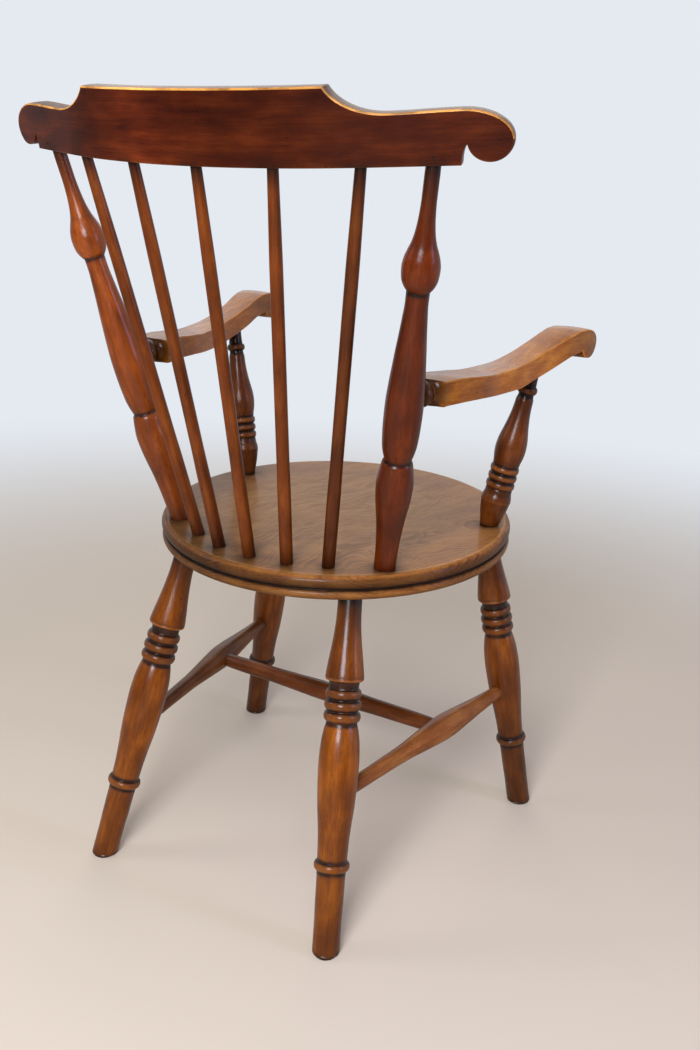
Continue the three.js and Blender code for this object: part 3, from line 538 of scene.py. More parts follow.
# Spindles, from the crest's underside down to the seat. They are darkest at the top, just under
# the crest, and each has a shade of its own that the steps down its length are multiplied by:
# how light or dark each spindle stood in the light, so partly painted light and shade, the fifth,
# on the sitter's right, darkest.
spindles = {
    "count": 5, "circle": 192.5, "footStep": 48.2, "columns": 40, "dim": (0.8, 0.85),
    "dimReach": (12, 17), "oval": 0.012, "shades": (0.96, 0.87, 0.96, 0.95, 0.56),
    "steps": [(0, 0.5), (0.03, 0.65), (0.075, 1.08), (0.15, 1.14), (0.3, 1), (0.85, 1), (1, 0.85)],
    "outline": [("run", (0, 5.6), (33, 6), (56, 6.35), (100, 6.85), (200, 7), (310, 7.15),
                 (350, 7.55), (440, 7.55))],
}
spindleFeet = []
for number in range(spindles["count"]):
    place = (spindles["count"] - 1) / 2 - number
    bearing = math.degrees(place * spindles["footStep"] / spindles["circle"])
    foot = onSeat(spindles["circle"], bearing, 1, 0.0)
    head = onCrest(place * crest["spindleStep"], 0.0, 0.0)
    spindleFeet.append(foot)
    shades = [(share, step * spindles["shades"][number]) for share, step in spindles["steps"]]
    addTurned(f"plain_spindle_{number + 1}", f"spindle_{number + 1}", "spindles", head, unit(foot - head),
              np.linalg.norm(foot - head), {**spindles, "shade": shades}, number + 4)
print("posts and spindles turned")

# Legs, from the seat's underside down to the floor. The places hold each leg's bearing on the
# seat and the way that it runs: outward, back and down.
legs = {
    "circle": 199, "seatDepth": 28.5, "length": 414.5, "columns": 64, "sunk": (5, 0),
    "places": {"rear": (36.3, (50.8, 123.4, 391.5)), "front": (125.9, (70.8, -22.4, 408.6))},
    # painted light and shade: the heads are darkened strongly under the seat, partly dirt and partly painted
    # shadow; the rear legs, facing the lamps, are lighter in their middles, and the front legs grow darker
    # towards the foot, away from the light
    "levelling": 60, "dim": (2.2, 0.9), "dimReach": (14, 5), "stretcherDrop": 234,
    "shades": {"rear": [(0, 0.8), (0.1, 0.85), (0.25, 1.1), (0.45, 1.3), (0.6, 1.25), (0.75, 1.05),
                        (1, 0.9)],
               "front": [(0, 0.65), (0.15, 0.85), (0.25, 1.05), (0.45, 1.1), (0.6, 0.82), (0.8, 0.56),
                         (1, 0.46)]},
    "outline": [
        ("run", (0, 13.7), (27, 14.2), (45, 15.5), (63, 17.7), (82, 20.5), (95, 22.1), (98, 22.2)),
        ("run", (98, 22.2), (99.6, 21.6), (100.4, 20.3)),
        ("run", (100.6, 18.2), (105, 17.2), (109.4, 17.2)),
        ("bead", 109.8, 120.9, 17.4, 20.7), ("bead", 122.7, 134, 17.8, 21.35),
        ("bead", 135.8, 147, 17.8, 21.35),
        ("run", (148, 17.8), (150.5, 18.1), (155, 19.4), (160, 20.4), (169, 21.9), (182.5, 23),
         (196, 23.45), (215, 23), (242, 21.6), (270, 19.1), (288, 17.9), (302, 17.4), (307.6, 17.3)),
        ("bead", 308.2, 318, 17.5, 20.8),
        ("run", (318.6, 17), (329, 16.6), (357, 16.4), (380, 15.9), (410.6, 15.9)),
        ("run", (410.6, 15.9), (412.6, 15.5), (413.8, 14.8), (414.5, 13.4))],
}
legPoints = {}
seed = 10
for _, sideName, side in sides:
    for endName, (bearing, (outward, back, down)) in legs["places"].items():
        seed += 1
        head = onSeat(legs["circle"], bearing, side, -legs["seatDepth"])
        axis = unit((side * outward, back, -down))
        legPoints[endName, sideName] = head + legs["stretcherDrop"] * axis
        points, values, along = turnedPiece(head, axis, 0.0, {**legs, "shade": legs["shades"][endName]},
                                            seed)
        points = toRow(points)
        # the foot is sawn level: the last ring slides along the axis to the floor, and the
        # rings above it slide less and less
        run = unit(toRow(axis) - toRow(np.zeros(3)))
        share = np.clip((along - legs["length"] + legs["levelling"]) / legs["levelling"], 0, 1)
        points += (share[:, None, None] * (points[-1, :, 2] / -run[2])[:, None]) * run
        settle(gridMesh(f"turned_leg_{endName}_{sideName}", points, values, finishes["legs"]),
               f"leg_{endName}_{sideName}")

# Stretchers: one down each side between the legs, and one across between their swells
stretchers = {"columns": 48, "dim": (0.75, 0.75), "dimReach": (5, 5), "sunk": (0.1, 0.1)}
sideStretchers = {
    **stretchers, "reach": 13, "legRadius": 17.87, "crossShare": 0.585,
    # the far left stretcher is painted darker and the near right one lighter, for how they lie in the light:
    # painted shade and light
    "shades": {"left": 0.6, "right": 1.1},
    "outline": [("run", (0, 8.9), (60, 9.2), (100, 9.8), (128, 10.6), (156, 12.6), (185, 14.8),
                 (213, 16.3), (229, 15.8), (260, 13.5), (292, 11.1), (320, 9.6), (364, 8.1))],
}
crossStretcher = {
    **stretchers, "reach": 11,
    "outline": [("run", (0, 8.2), (35, 10), (95, 10.7), (133, 11.7), (180, 13), (227, 11.7),
                 (265, 10.7), (325, 10), (360, 8.2))],
}


# puts a stretcher between two points. Its outline of one run is drawn out to their distance,
# and stops short of both by its reach
def addStretcher(name, node, slot, start, end, look, seed):
    span = np.linalg.norm(end - start)
    points = np.array(look["outline"][0][1:], float)
    points[:, 0] *= span / points[-1, 0]
    first, last = look["reach"], span - look["reach"]
    places = np.linspace(first, last, round((last - first) / turning["runStep"]))
    outline = [("run", *np.stack([places, smoothThrough(points, places)], 1).tolist())]
    addTurned(name, node, slot, start, unit(end - start), 0.0, {**look, "outline": outline}, seed)


crossJoints = []
for seed, sideName, side in sides:
    rear, front = legPoints["rear", sideName], legPoints["front", sideName]
    inset = unit(front - rear) * sideStretchers["legRadius"]
    faces = rear + inset, front - inset
    crossJoints.append(faces[0] + (faces[1] - faces[0]) * sideStretchers["crossShare"])
    shade = sideStretchers["shades"][sideName]
    addStretcher("turned_side_stretcher_" + sideName, "side_stretcher_" + sideName, "side_stretchers",
                 rear, front, {**sideStretchers, "shade": [(0, shade), (1, shade)]}, seed + 20)
addStretcher("turned_cross_stretcher", "cross_stretcher", "cross_stretcher", *crossJoints,
             crossStretcher, 23)
print("legs and stretchers turned")

# What both kinds of board share: how finely their rings and their lengths are divided
board = {"cornerColumns": 6, "edgeColumns": 10, "edgeGap": 0.03, "faceColumns": 18,
         "faceGap": 0.008, "stationStep": 0.05, "leastStep": 1e-6}


# matches a board's two outlines, whose rows are a place, a height, the radius of the rounding
# there and the crown of the edge: each line is moved inward by both, and the stations are the
# places where either moved line has a point, so every line up a face is square to the board
def boardStations(lower, upper, folded):
    lines, moved = [], []
    for line, turn in ((lower, 1.0), (upper, -1.0)):
        run = np.gradient(line[:, :2], axis=0)
        run /= np.linalg.norm(run, axis=1, keepdims=True)
        inward = turn * np.stack([-run[:, 1], run[:, 0]], 1)
        for row, sign in folded:
            inward[row] = (sign, 0.0)
        lines.append(np.concatenate([line, inward], 1))
        place = np.maximum.accumulate(line[:, 0] + (line[:, 2] + line[:, 3]) * inward[:, 0])
        moved.append(place + board["leastStep"] * np.arange(len(place)))
    first, last = max(moved[0][0], moved[1][0]), min(moved[0][-1], moved[1][-1])
    steps = np.unique(np.round(np.concatenate(moved) / board["stationStep"])) * board["stationStep"]
    stations = np.concatenate([[first], steps[(steps > first) & (steps < last)], [last]])
    result = []
    for line, places in zip(lines, moved):
        read = np.stack([np.interp(stations, places, column) for column in line.T], 1)
        read[0], read[-1] = line[0], line[-1]
        read[:, 4:] /= np.linalg.norm(read[:, 4:], axis=1, keepdims=True)
        result.append((read[:, :2], read[:, 4:], read[:, 2:3], read[:, 3:4]))
    return result


# a board's rings: each runs over the lower edge, up one face, over the upper edge and down the
# other face. A corner is a quarter circle, inward r(1 - cos t) and out to the face r sin t, and
# an edge falls from its middle by the crown times the square of the share of its width. It
# gives the in-plane points, their offsets from the middle surface and which columns are which
def boardRings(lower, upper, half):
    turn = np.linspace(0, math.pi / 2, board["cornerColumns"])
    deep, out = 1 - np.cos(turn), np.sin(turn)
    flat = np.linspace(-1, 1, board["edgeColumns"])
    flat[[0, -1]] = np.array([-1, 1]) * (1 - board["edgeGap"])
    span = np.linspace(0, 1, board["faceColumns"])
    span[[0, -1]] = board["faceGap"], 1 - board["faceGap"]
    half = half[:, None]

    def edge(outline, order):
        line, inward, arris, crown = outline
        bulge = crown * flat ** 2
        return line[:, None] + inward[:, None] * bulge[..., None], (half - arris) * flat * order

    def corner(outline, side, order):
        line, inward, arris, crown = outline
        sink = arris * deep[::order] + crown
        return (line[:, None] + inward[:, None] * sink[..., None],
                side * (half - arris + arris * out[::order]))

    def face(start, end, side):
        return (start[:, None] + (end - start)[:, None] * span[None, :, None],
                side * half * np.ones_like(span))

    low, high = (line + inward * (arris + crown) for line, inward, arris, crown in (lower, upper))
    blocks = [("under", edge(lower, 1)), ("lowArris", corner(lower, 1, 1)),
              ("face", face(low, high, 1)), ("topArris", corner(upper, 1, -1)),
              ("top", edge(upper, -1)), ("topArris", corner(upper, -1, 1)),
              ("face", face(high, low, -1)), ("lowArris", corner(lower, -1, -1))]
    kinds = np.concatenate([np.full(offset.shape[1], kind) for kind, (_, offset) in blocks])
    return (np.concatenate([inPlane for _, (inPlane, _) in blocks], 1),
            np.concatenate([offset for _, (_, offset) in blocks], 1),
            {kind: (kinds == kind) * 1.0 for kind, _ in blocks})


# rows of a board's outline from places and heights, its rounding and its crown
def outlineRows(places, heights, arris, crown):
    return np.stack(np.broadcast_arrays(places, heights, arris, crown), 1).astype(float)


# half of the crest's outlines from its middle to the tip. Above: a level middle, a small
# rounding, a cove that is the end of a quarter ellipse, a rise by half a cosine to the hump and
# a quarter ellipse down to the tip. Below: level, a small rounding, the notch's wall, which is
# the start of a quarter ellipse, and the lobe's half ellipse from the notch round to the tip
def crestOutlines():
    tip, low = crest["tipHeight"], crest["earHeight"]
    coveEnd = crest["plateau"] + crest["coveLength"]
    coveWidth = crest["coveLength"] / crest["coveShare"]
    coveDepth = (crest["centreHeight"] - low) / (1 - math.sqrt(1 - crest["coveShare"] ** 2))
    hump = crest["halfLength"] - crest["humpLength"]
    lobeMiddle = crest["halfLength"] - crest["lobeHalf"]
    drop, notchHeight = tip - crest["lobeLift"], tip * crest["notchHeightShare"]
    apexTurn = math.asin((tip - notchHeight) / drop)
    corner = lobeMiddle - crest["lobeHalf"] * math.cos(apexTurn) - crest["notchWidth"]
    fillet, lowFillet, points = crest["shoulderFillet"], crest["cornerFillet"], crest["turnPoints"]
    topRound = (crest["arris"], crest["crown"])
    lowRound = (crest["lowArris"], crest["crown"])

    steep = math.atan(coveDepth / coveWidth * crest["coveShare"] / math.sqrt(1 - crest["coveShare"] ** 2))
    bend = np.linspace(0, steep, points)
    filletStart = crest["plateau"] - fillet * math.tan(steep / 2)
    coveStart = filletStart + fillet * math.sin(steep)
    cove = np.linspace(math.asin((coveEnd - coveStart) / coveWidth), 0, points)[1:]
    rise = np.linspace(0, 1, points)[1:]
    crown = np.linspace(0, math.pi / 2, crest["lobePoints"])[1:]
    upper = [
        outlineRows(np.arange(0, filletStart, crest["levelStep"]), crest["centreHeight"], *topRound),
        outlineRows(filletStart + fillet * np.sin(bend),
                    crest["centreHeight"] - fillet * (1 - np.cos(bend)), *topRound),
        outlineRows(coveEnd - coveWidth * np.sin(cove), low + coveDepth * (1 - np.cos(cove)), *topRound),
        outlineRows(coveEnd + (hump - coveEnd) * rise,
                    low + crest["humpRise"] * (1 - np.cos(math.pi * rise)) / 2, *topRound),
        outlineRows(hump + crest["humpLength"] * np.sin(crown),
                    tip + (low + crest["humpRise"] - tip) * np.cos(crown), *topRound),
    ]
    bend = np.linspace(0, math.pi / 2, points)
    full = crest["notchTurn"]
    wall = np.linspace(math.asin(lowFillet * math.sin(full) / notchHeight), full, points)[1:]
    lobe = np.linspace(apexTurn, math.pi, crest["lobePoints"])[1:]
    lobeArris = crest["lowArris"] + (crest["arris"] - crest["lowArris"]) * ease(lobe, *crest["softFrom"])
    lower = [
        outlineRows(np.arange(0, corner - lowFillet, crest["levelStep"]), 0.0, *lowRound),
        outlineRows(corner - lowFillet * (1 - np.sin(bend)), lowFillet * (1 - np.cos(bend)), *lowRound),
        outlineRows(corner + crest["notchWidth"] * (1 - np.cos(wall)) / (1 - math.cos(full)),
                    notchHeight * np.sin(wall) / math.sin(full), *lowRound),
        outlineRows(lobeMiddle - crest["lobeHalf"] * np.cos(lobe), tip - drop * np.sin(lobe),
                    lobeArris, crest["crown"]),
    ]
    return np.concatenate(lower), np.concatenate(upper)


# both halves of a line that starts on the middle
def mirrored(line):
    return np.concatenate([(line * (-1, 1, 1, 1))[:0:-1], line])


tipFolds = ((0, 1.0), (-1, -1.0))
lower, upper = boardStations(*(mirrored(line) for line in crestOutlines()), tipFolds)
inPlane, offset, masks = boardRings(lower, upper, np.full(len(lower[0]), crest["half"]))
along, up = inPlane[..., 0], inPlane[..., 1]
joints = [(place * crest["spindleStep"], crest["spindleSmudge"]) for place in (-2, -1, 0, 1, 2)]
joints += [(side * crest["postPlace"], crest["postSmudge"]) for *_, side in sides]
smudge = sum(np.exp(-np.hypot(np.clip(np.abs(along - place) - radius, 0, None), up)
                    / crest["smudgeReach"]) for place, radius in joints)
glow = sum(share * bell(along, place, reach) for share, place, reach in crest["glows"])
values = {
    # the lightening towards the left end is a painted sheen
    "shade": 1 + glow + crest["leftSheen"] * ease(along, *crest["leftFrom"]),
    "wear": masks["topArris"] * (0.9 - 0.35 * ease(np.abs(along), *crest["tipsFrom"]))
    + masks["lowArris"] * 0.06 + masks["top"] * 0.1,
    "worn": masks["top"] * (0.75 + 0.25 * np.cos(along / crest["greyWave"])) + masks["topArris"] * 0.1,
    "grimeAndShade": np.clip(0.8 * smudge * (1 - masks["top"]), 0, 0.8) + masks["under"] * 0.25,
    "grainPlace": np.stack([offset, up, along], -1) * millimetre + crest["plank"],
}
settle(gridMesh("crest_board", toRow(onCrest(along, up, offset)), values, finishes["crest"],
                "fold", "fold"), "crest_rail")

# Pins through the back of the crest, with a low domed head
pins = {"length": 15, "height": 7.6, "columns": 20,
        "dim": (0, 0.3), "dimReach": (1, 1), "sunk": (0, 0), "oval": 0.02,
        "outline": [("run", (0, 1.8), (14.6, 1.8)), ("run", (14.6, 1.8), (15.05, 1.55), (15.3, 0.9))]}
for seed, sideName, side in sides:
    rise = postAxes[sideName][1]
    place = side * crest["postPlace"]
    head = onCrest(place, 0.0, 0.0)
    out = onCrest(place, 0.0, 1.0) - head
    tenon = head + rise * (pins["height"] / (rise @ crestUp))
    proud = (tenon - onCrest(place, pins["height"], 0.0)) @ out
    face = tenon + out * (crest["half"] - proud)
    addTurned("domed_pin_" + sideName, "crest_pin_" + sideName, "pins", face - out * pins["length"], out,
              0.0, pins, seed + 30)
print("crest made")

# Arms: a sawn plank, seen from the side as heights at places forward of its rear, with a hand
# that is half a circle in front, a notch under it and a turned boss behind
arms = {
    "rearBack": 130, "height": 207.25, "length": 315, "handRadius": 19, "handDrop": 10.6,
    "handRun": 16, "handRoll": 14, "handMiddle": 223.1, "arris": 1.3, "crown": 1.3, "lowCrown": 0.3,
    "bodyStep": 2, "turnPoints": 40,
    "top": [(0, 221.5), (20, 222.3), (60, 219), (100, 215.8), (140, 217.1), (180, 222.3),
            (220, 230.5), (255, 239.1), (272, 241.9), (282, 242.1)],
    "bottom": [(0, 193), (20, 193.8), (60, 192.4), (100, 189.6), (140, 189), (180, 194.3),
               (220, 201.8), (260, 212.1), (280, 214.7)],
    "across": [(-40, 0), (0, 0), (20, 5.1), (60, 12.4), (100, 19.3), (140, 27.6), (180, 33.9),
               (220, 40.3), (260, 48.3), (300, 53.7), (316, 54.5)],
    "width": [(-40, 46), (0, 46), (20, 48.8), (60, 51.1), (100, 45), (140, 40.2), (180, 37.7),
              (220, 39), (260, 42.9), (300, 46.3), (316, 46.6)],
    "full": 27.1, "shoulder": 7, "neck": 12.4, "ball": 14.6, "ballLength": 17, "tenon": 8.5,
    "tenonSunk": 6, "postRadius": 20.3, "bossRows": 26, "bossFrom": (-1, 1.5),
    "handleFrom": (200, 290), "lightFrom": (10, 120), "dirtReach": 9, "plank": (0, 0.7, 0.9),
}


# the arm's lower and upper outlines as places forward and heights: smooth runs, then under the
# hand a quarter ellipse down from the notch and a quarter circle to its front, and over it a
# longer quarter ellipse. The top is crowned, less and less towards the front of the hand
def armOutlines():
    centre = arms["length"] - arms["handRadius"]
    turn = np.linspace(0, math.pi / 2, arms["turnPoints"])
    notch = centre - arms["handRun"]
    middleCrown = (arms["crown"] + arms["lowCrown"]) / 2
    body = np.append(np.arange(0, notch, arms["bodyStep"]), notch)
    lower = [
        outlineRows(body, smoothThrough(arms["bottom"], body), arms["arris"], arms["lowCrown"]),
        outlineRows(centre - arms["handRun"] * np.cos(turn),
                    arms["handMiddle"] - arms["handRadius"] + arms["handDrop"] * (1 - np.sin(turn)),
                    arms["arris"], arms["lowCrown"]),
        outlineRows(centre + arms["handRadius"] * np.sin(turn),
                    arms["handMiddle"] - arms["handRadius"] * np.cos(turn), arms["arris"],
                    arms["lowCrown"] + (middleCrown - arms["lowCrown"]) * np.sin(turn))[1:],
    ]
    rollStart = centre - arms["handRoll"]
    body = np.arange(0, rollStart, arms["bodyStep"])
    upper = [
        outlineRows(body, smoothThrough(arms["top"], body), arms["arris"], arms["crown"]),
        outlineRows(rollStart + (arms["handRadius"] + arms["handRoll"]) * np.sin(turn),
                    arms["handMiddle"] + arms["handRadius"] * np.cos(turn), arms["arris"],
                    arms["crown"] + (middleCrown - arms["crown"]) * np.sin(turn)),
    ]
    return np.concatenate(lower), np.concatenate(upper)


# how wide the turned boss lets the section be, at places behind the plank: a hollow shoulder
# that falls as a quarter ellipse to the neck, a ball, and the tenon in the post
def bossLimits(tenonEnd):
    turn = np.linspace(0, math.pi / 2, arms["bossRows"])
    hollow = np.stack([arms["shoulder"] * (1 - np.cos(turn)),
                       arms["full"] - (arms["full"] - arms["neck"]) * np.sin(turn)], 1)
    edge = math.asin(arms["neck"] / arms["ball"])
    last = math.pi - math.asin(arms["tenon"] / arms["ball"])
    turn = np.linspace(edge, last, arms["bossRows"])
    share = (np.cos(edge) - np.cos(turn)) / (math.cos(edge) - math.cos(last))
    ball = np.stack([arms["shoulder"] + arms["ballLength"] * share, arms["ball"] * np.sin(turn)], 1)
    return np.concatenate([hollow[1:], ball[1:], [[tenonEnd, arms["tenon"]]]])[::-1]


armLines = boardStations(*armOutlines(), ((-1, -1.0),))
for seed, sideName, side in sides:
    foot, rise = postAxes[sideName]
    postPoint = foot + rise * (arms["height"] / rise[2])
    places = (armLines[0][0][:, 0] + armLines[1][0][:, 0]) / 2
    inPlane, offset, masks = boardRings(*armLines, smoothThrough(arms["width"], places) / 2)
    tenonEnd = postPoint[1] - arms["rearBack"] - arms["postRadius"] + arms["tenonSunk"]
    limits = bossLimits(tenonEnd)
    middle = (inPlane[0, :, 1].max() + inPlane[0, :, 1].min()) / 2
    reach = np.hypot(offset[0], inPlane[0, :, 1] - middle)
    drawn = np.minimum(1, limits[:, 1:] / reach)
    bossPlace = np.stack([-limits[:, :1] + 0 * drawn, middle + (inPlane[0, :, 1] - middle) * drawn], -1)
    inPlane = np.concatenate([bossPlace, inPlane])
    offset = np.concatenate([offset[0] * drawn, offset])
    forward, height = inPlane[..., 0], inPlane[..., 1]
    across = postPoint[0] + side * (smoothThrough(arms["across"], forward) + offset)
    points = np.stack([across, arms["rearBack"] - forward, height], -1)
    boss, handle = ease(-forward, *arms["bossFrom"]), ease(forward, *arms["handleFrom"])
    values = {
        "shade": (0.76 + 0.32 * ease(forward, *arms["lightFrom"]) - 0.34 * handle * masks["face"])
        * (1 - 0.72 * boss),
        "wear": (masks["topArris"] * (0.8 + 0.2 * handle) + masks["lowArris"] * 0.35) * (1 - boss),
        "worn": masks["top"] * (0.12 + 0.25 * handle) * (1 - boss) + masks["face"] * 0.3 * handle,
        "grimeAndShade": np.clip(masks["under"] * (0.35 + 0.3 * handle)
                         + (1 - boss) * 0.4 * masks["face"] * fading(forward, arms["dirtReach"]), 0, 1),
        "grainPlace": np.stack([across, height, forward], -1) * millimetre
        + np.array(arms["plank"]) * (1, seed, 1),
    }
    settle(gridMesh("scrolled_arm_" + sideName, toRow(points), values, finishes["arms"], "fan", "fold"),
           "arm_" + sideName)
print("arms made")

# Arm supports, from the arm's underside down to the seat
supports = {
    "foot": (187.4, -61), "top": (222, -82.4), "columns": 64, "dim": (0.95, 0.5),
    "dimReach": (28, 5), "proudFull": 0.6, "crownProud": 0.8,
    # the collar under the arm is made dark and the lower part darker: partly stain, partly painted shade
    "shade": [(0, 0.55), (0.15, 0.5), (0.22, 0.9), (0.35, 1.1), (0.6, 0.9), (0.85, 0.75), (1, 0.9)],
    "outline": [
        ("run", (0, 8.6), (12, 8.7), (20.5, 9.2)), ("bead", 22.2, 31.2, 9.4, 12.1),
        ("run", (31.8, 9.3), (34.7, 9.5), (38.7, 10.6), (48.7, 11.1), (58.7, 12.1), (68.7, 13.7),
         (78.7, 15.7), (88.7, 17.8), (93.7, 18.5), (101.2, 19), (108.7, 18.6), (113.7, 17.85),
         (118.7, 16.8), (123.2, 16.3)),
        ("bead", 124.1, 133, 15.6, 17.9), ("bead", 134.3, 143.2, 15.6, 17.9),
        ("bead", 144.6, 153.5, 15.6, 17.9),
        ("run", (154.4, 16.4), (159.4, 16.7), (164.7, 18.1), (169.7, 18.75)),
        ("run", (170.1, 18.7), (174.7, 17.8), (180.3, 17), (204.7, 11.2))],
}
underside = float(smoothThrough(arms["bottom"], [arms["rearBack"] - supports["top"][1]])[0])
for seed, sideName, side in sides:
    head = np.array([side * supports["top"][0], supports["top"][1], underside])
    foot = np.array([side * supports["foot"][0], supports["foot"][1], 0.0])
    addTurned("turned_support_" + sideName, "arm_support_" + sideName, "supports", head,
              unit(foot - head), np.linalg.norm(foot - head), supports, seed + 40)

# The seat is one outline turned round its middle: flat on top, a rounded bead, a groove, a
# lower bead and a flat underside. The finish's places are radii or depths below the top.
seat = {
    "radius": 224, "depth": 28.5, "lowerBead": 10.6, "groove": 2.6, "grooveDepth": 4.6,
    "lowerInset": 0.5, "arris": 8, "columns": 288, "topStep": 2.2, "underStep": 12,
    "middle": 1, "underInset": 1, "beadRows": 16, "grooveRows": 4, "grooveSpan": (0.2, 0.8),
    "topFrom": 1, "underFrom": 28, "lineInset": 7.4, "lineWidth": 1,
    "wornFrom": (110, 205), "goldenFrom": (176, 206),
    "grooveBand": (16.6, 2.1, 12), "crownBand": (23, 2.5, 3),
    # painted light across the top: the left and back is darkened as painted shade, and the right and back
    # lightened as a painted sheen
    "darkLeft": 0.4, "darkFrom": (130, 212), "darkAcross": (-20, 220),
    "rightSheen": 0.18, "lightFrom": (90, 190), "lightAcross": (60, 190), "lean": 0.6,
    # painted shade down the rim: darker down the side of the upper bead to the groove, lighter again on the
    # lower bead and darker under it, as under light from above
    "rimShades": ((-0.6, 1, 4.5), (-0.17, 4.5, 13), (0.4, 17, 19), (-0.2, 21.5, 27)),
    "spindleFoot": 7.6, "postFoot": 12.5, "supportFoot": 11.5, "footReach": 9,
    # a darker strip on the top behind the spindles, along the back edge
    "rearDarkening": 0.25, "rearFrom": (194, 206), "rearBack": (60, 160), "grainTurn": math.radians(25),
}


# the outline as radii and heights: the upper bead is two quarter ellipses, the lower one is half
# an ellipse, and the groove between them is straight down
def seatOutline():
    radius, deep = seat["radius"], seat["depth"] - seat["lowerBead"] - seat["groove"]
    inner = radius - seat["grooveDepth"]
    turn = np.linspace(0, math.pi / 2, seat["beadRows"])
    around = np.linspace(math.pi / 2, -math.pi / 2, 2 * seat["beadRows"])
    stretches = [
        (np.arange(seat["middle"], radius - seat["arris"], seat["topStep"]), 0.0),
        (radius - seat["arris"] * (1 - np.sin(turn)), -deep / 2 * (1 - np.cos(turn))),
        ((radius - seat["grooveDepth"] * (1 - np.cos(turn)))[1:], (-deep / 2 * (1 + np.sin(turn)))[1:]),
        (inner, -deep - seat["groove"] * np.linspace(*seat["grooveSpan"], seat["grooveRows"])),
        (inner + (seat["grooveDepth"] - seat["lowerInset"]) * np.cos(around),
         -seat["depth"] + seat["lowerBead"] / 2 * (1 + np.sin(around))),
        (np.arange(inner - seat["underInset"], 2 * seat["middle"], -seat["underStep"]), -seat["depth"]),
        ([seat["middle"]], -seat["depth"])]
    return np.concatenate([np.stack(np.broadcast_arrays(*stretch), 1) for stretch in stretches])


outline = seatOutline()
angle = np.linspace(0, 2 * math.pi, seat["columns"], endpoint=False)
radius, height = outline[:, :1] + 0 * angle, outline[:, 1:] + 0 * angle
across, back = radius * np.cos(angle), radius * np.sin(angle)
onTop = (height > -seat["topFrom"]) * 1.0
standing = [(foot, seat["spindleFoot"]) for foot in spindleFeet]
standing += [(foot, seat["postFoot"]) for foot, _ in postAxes.values()]
standing += [((side * supports["foot"][0], supports["foot"][1]), seat["supportFoot"])
             for *_, side in sides]
smudges = sum(fading(np.hypot(across - foot[0], back - foot[1]) - reach, seat["footReach"])
              for foot, reach in standing)


# a band round the rim: a bell curve in depth, where the radius is within so much of the edge
def rimBand(depth, reach, within):
    return bell(-height, depth, reach) * (radius > seat["radius"] - within)


# the groove under the upper bead is darkened: dirt in it and painted shadow under the bead's overhang
inGroove, lowCrown = rimBand(*seat["grooveBand"]), rimBand(*seat["crownBand"])
# a light line just inside the edge, where the top turns into the bead: a worn arris with a painted highlight
# along it
inLine = bell(radius, seat["radius"] - seat["lineInset"], seat["lineWidth"]) * onTop
values = {
    "shade": (1 + sum(share * ease(-height, first, last) for share, first, last in seat["rimShades"]))
    * (1 - seat["darkLeft"] * ease(radius, *seat["darkFrom"])
       * ease(across + seat["lean"] * back, *seat["darkAcross"])
       + seat["rightSheen"] * ease(radius, *seat["lightFrom"])
       * ease(seat["lean"] * back - across, *seat["lightAcross"])),
    "wear": np.clip(0.85 * inLine + 0.2 * lowCrown + 0.16 * ease(radius, *seat["goldenFrom"]) * onTop, 0, 1),
    "worn": onTop * (1 - 0.65 * ease(radius, *seat["wornFrom"])),
    "grimeAndShade": np.clip(0.75 * smudges * onTop + 1.3 * inGroove + 0.25 * (height < -seat["underFrom"])
                     + seat["rearDarkening"] * ease(radius, *seat["rearFrom"])
                     * ease(back, *seat["rearBack"]) * onTop, 0, 1.6),
    "grainPlace": np.stack([across * math.cos(seat["grainTurn"]) - back * math.sin(seat["grainTurn"]),
                            height, across * math.sin(seat["grainTurn"])
                            + back * math.cos(seat["grainTurn"])], -1) * millimetre,
}
settle(gridMesh("round_seat", toRow(np.stack([across, back, height], -1)), values, finishes["seat"]),
       "seat")
print("seat made")


# A pale floor that fades into a pale surround with the distance from the chair. The surround
# is seen at its own colour, and lights the chair at a lower one.
studio = {
    "floor": (228, 214, 196), "wall": (229, 234, 241), "ambient": (232, 236, 243), "strength": 0.28,
    "floorHalf": 9, "fadeFrom": 0.75, "fadeTo": 2.6, "wallTurn": 0.35,
    "lamps": {  # place, aim, width and height, power and colour of each lamp
        "window": ((-0.6, 2, 1.25), (0, 0, 0.5), (0.8, 0.7), 46, (244, 246, 255)),
        "left": ((2.2, 1.3, 1.8), (0, 0, 0.7), (0.9, 1.3), 13, (240, 244, 255)),
        "soft": ((-0.55, 1.5, 3.3), (0, 0, 0.4), (1.8, 1.8), 20, (255, 250, 242)),
        "side": ((-2.25, -0.32, 1.1), (0, 0, 0.5), (0.5, 0.9), 11, (200, 196, 255)),
        "front": ((1.5, -2.6, 2.2), (0, 0, 0.4), (2.4, 2.4), 22, (255, 250, 244)),
    },
}
half = studio["floorHalf"]
floorMesh = bpy.data.meshes.new("studio_floor")
floorMesh.from_pydata([(-half, -half, 0), (half, -half, 0), (half, half, 0), (-half, half, 0)], [],
                      [(0, 1, 2, 3)])
addObject("studio_floor", floorMesh)


# 1 where a camera ray arrives, or a ray through glass, or one off gloss that goes forward of the
# chair, and 0 for the rest
def seenRays(tree, place):
    rays = addNode(tree, "LightPath", {}).outputs
    away = addNode(tree, "VectorMath", {0: place}, operation="NORMALIZE").outputs[0]
    back = addNode(tree, "SeparateXYZ", {"Vector": away}).outputs["Y"]
    ahead = level(tree, total(tree, 0.0, (back, -1.0)), -studio["wallTurn"], studio["wallTurn"])
    shown = maths(tree, "MAXIMUM", rays["Is Camera Ray"], rays["Is Transmission Ray"])
    return maths(tree, "MAXIMUM", shown, product(tree, rays["Is Glossy Ray"], ahead))


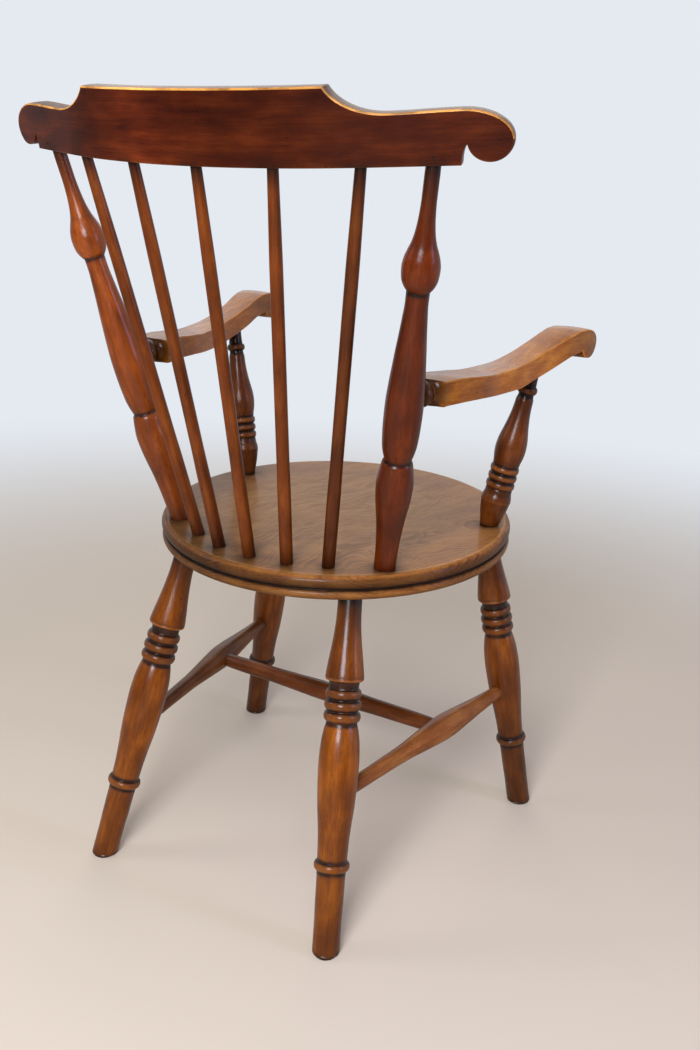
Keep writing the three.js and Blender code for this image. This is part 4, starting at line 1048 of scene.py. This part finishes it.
floorPaint = bpy.data.materials.new("studio_floor")
tree = emptyTree(floorPaint)
place = addNode(tree, "TexCoord", {}).outputs["Object"]
away = addNode(tree, "VectorMath", {0: place}, operation="LENGTH").outputs["Value"]
faded = product(tree, level(tree, away, studio["fadeFrom"], studio["fadeTo"]), seenRays(tree, place))
near = addNode(tree, "BsdfDiffuse", {"Color": paint(*studio["floor"])})
far = addNode(tree, "Emission", {"Color": paint(*studio["wall"]), "Strength": 1.0})
either = addNode(tree, "MixShader", {0: faded, 1: near.outputs[0], 2: far.outputs[0]})
addNode(tree, "OutputMaterial", {"Surface": either.outputs[0]})
floorMesh.materials.append(floorPaint)

world = bpy.data.worlds.new("studio_surround")
bpy.context.scene.world = world
tree = emptyTree(world)
lit = addNode(tree, "Background", {"Color": paint(*studio["ambient"]), "Strength": studio["strength"]})
seen = addNode(tree, "Background", {"Color": paint(*studio["wall"]), "Strength": 1.0})
direction = addNode(tree, "TexCoord", {}).outputs["Generated"]
either = addNode(tree, "MixShader", {0: seenRays(tree, direction), 1: lit.outputs[0], 2: seen.outputs[0]})
addNode(tree, "OutputWorld", {"Surface": either.outputs[0]})

for name, (place, aim, (width, height), power, tint) in studio["lamps"].items():
    lamp = bpy.data.lights.new("lamp_" + name, "AREA")
    lamp.shape, lamp.size, lamp.size_y = "RECTANGLE", width, height
    lamp.energy, lamp.color = power, paint(*tint)[:3]
    holder = addObject("lamp_" + name, lamp)
    holder.location = place
    holder.rotation_euler = (Vector(aim) - Vector(place)).to_track_quat("-Z", "Y").to_euler()

# The camera stands behind the sitter's right shoulder, where the photograph was taken from.
# Its place is in the seat's millimetres and its angles are in the seat's frame.
view = {"place": (-676.4, 1119.3, 463.8), "yaw": 30.36, "pitch": 20.33, "roll": 1.412,
        "focal": 36.627, "sensor": 36}
yaw, pitch, roll = (math.radians(view[key]) for key in ("yaw", "pitch", "roll"))
forward = np.array([math.sin(yaw) * math.cos(pitch), -math.cos(yaw) * math.cos(pitch), -math.sin(pitch)])
right = unit(np.cross(forward, (0.0, 0.0, 1.0)))
upward = np.cross(right, forward)
right, upward = (math.cos(roll) * right + math.sin(roll) * upward,
                 math.cos(roll) * upward - math.sin(roll) * right)
axes = [(toRow(axis) - seatOrigin) / millimetre for axis in (right, upward, -forward)]
cameraData = bpy.data.cameras.new("camera")
cameraData.lens, cameraData.sensor_fit = view["focal"], "VERTICAL"
cameraData.sensor_height = cameraData.sensor_width = view["sensor"]
camera = addObject("camera", cameraData)
camera.matrix_world = Matrix([[*(float(axis[row]) for axis in axes), float(toRow(view["place"])[row])]
                              for row in range(3)] + [[0.0, 0.0, 0.0, 1.0]])
bpy.context.scene.camera = camera
bpy.context.scene.view_settings.view_transform = "Standard"
bpy.context.view_layer.update()
print("studio set")
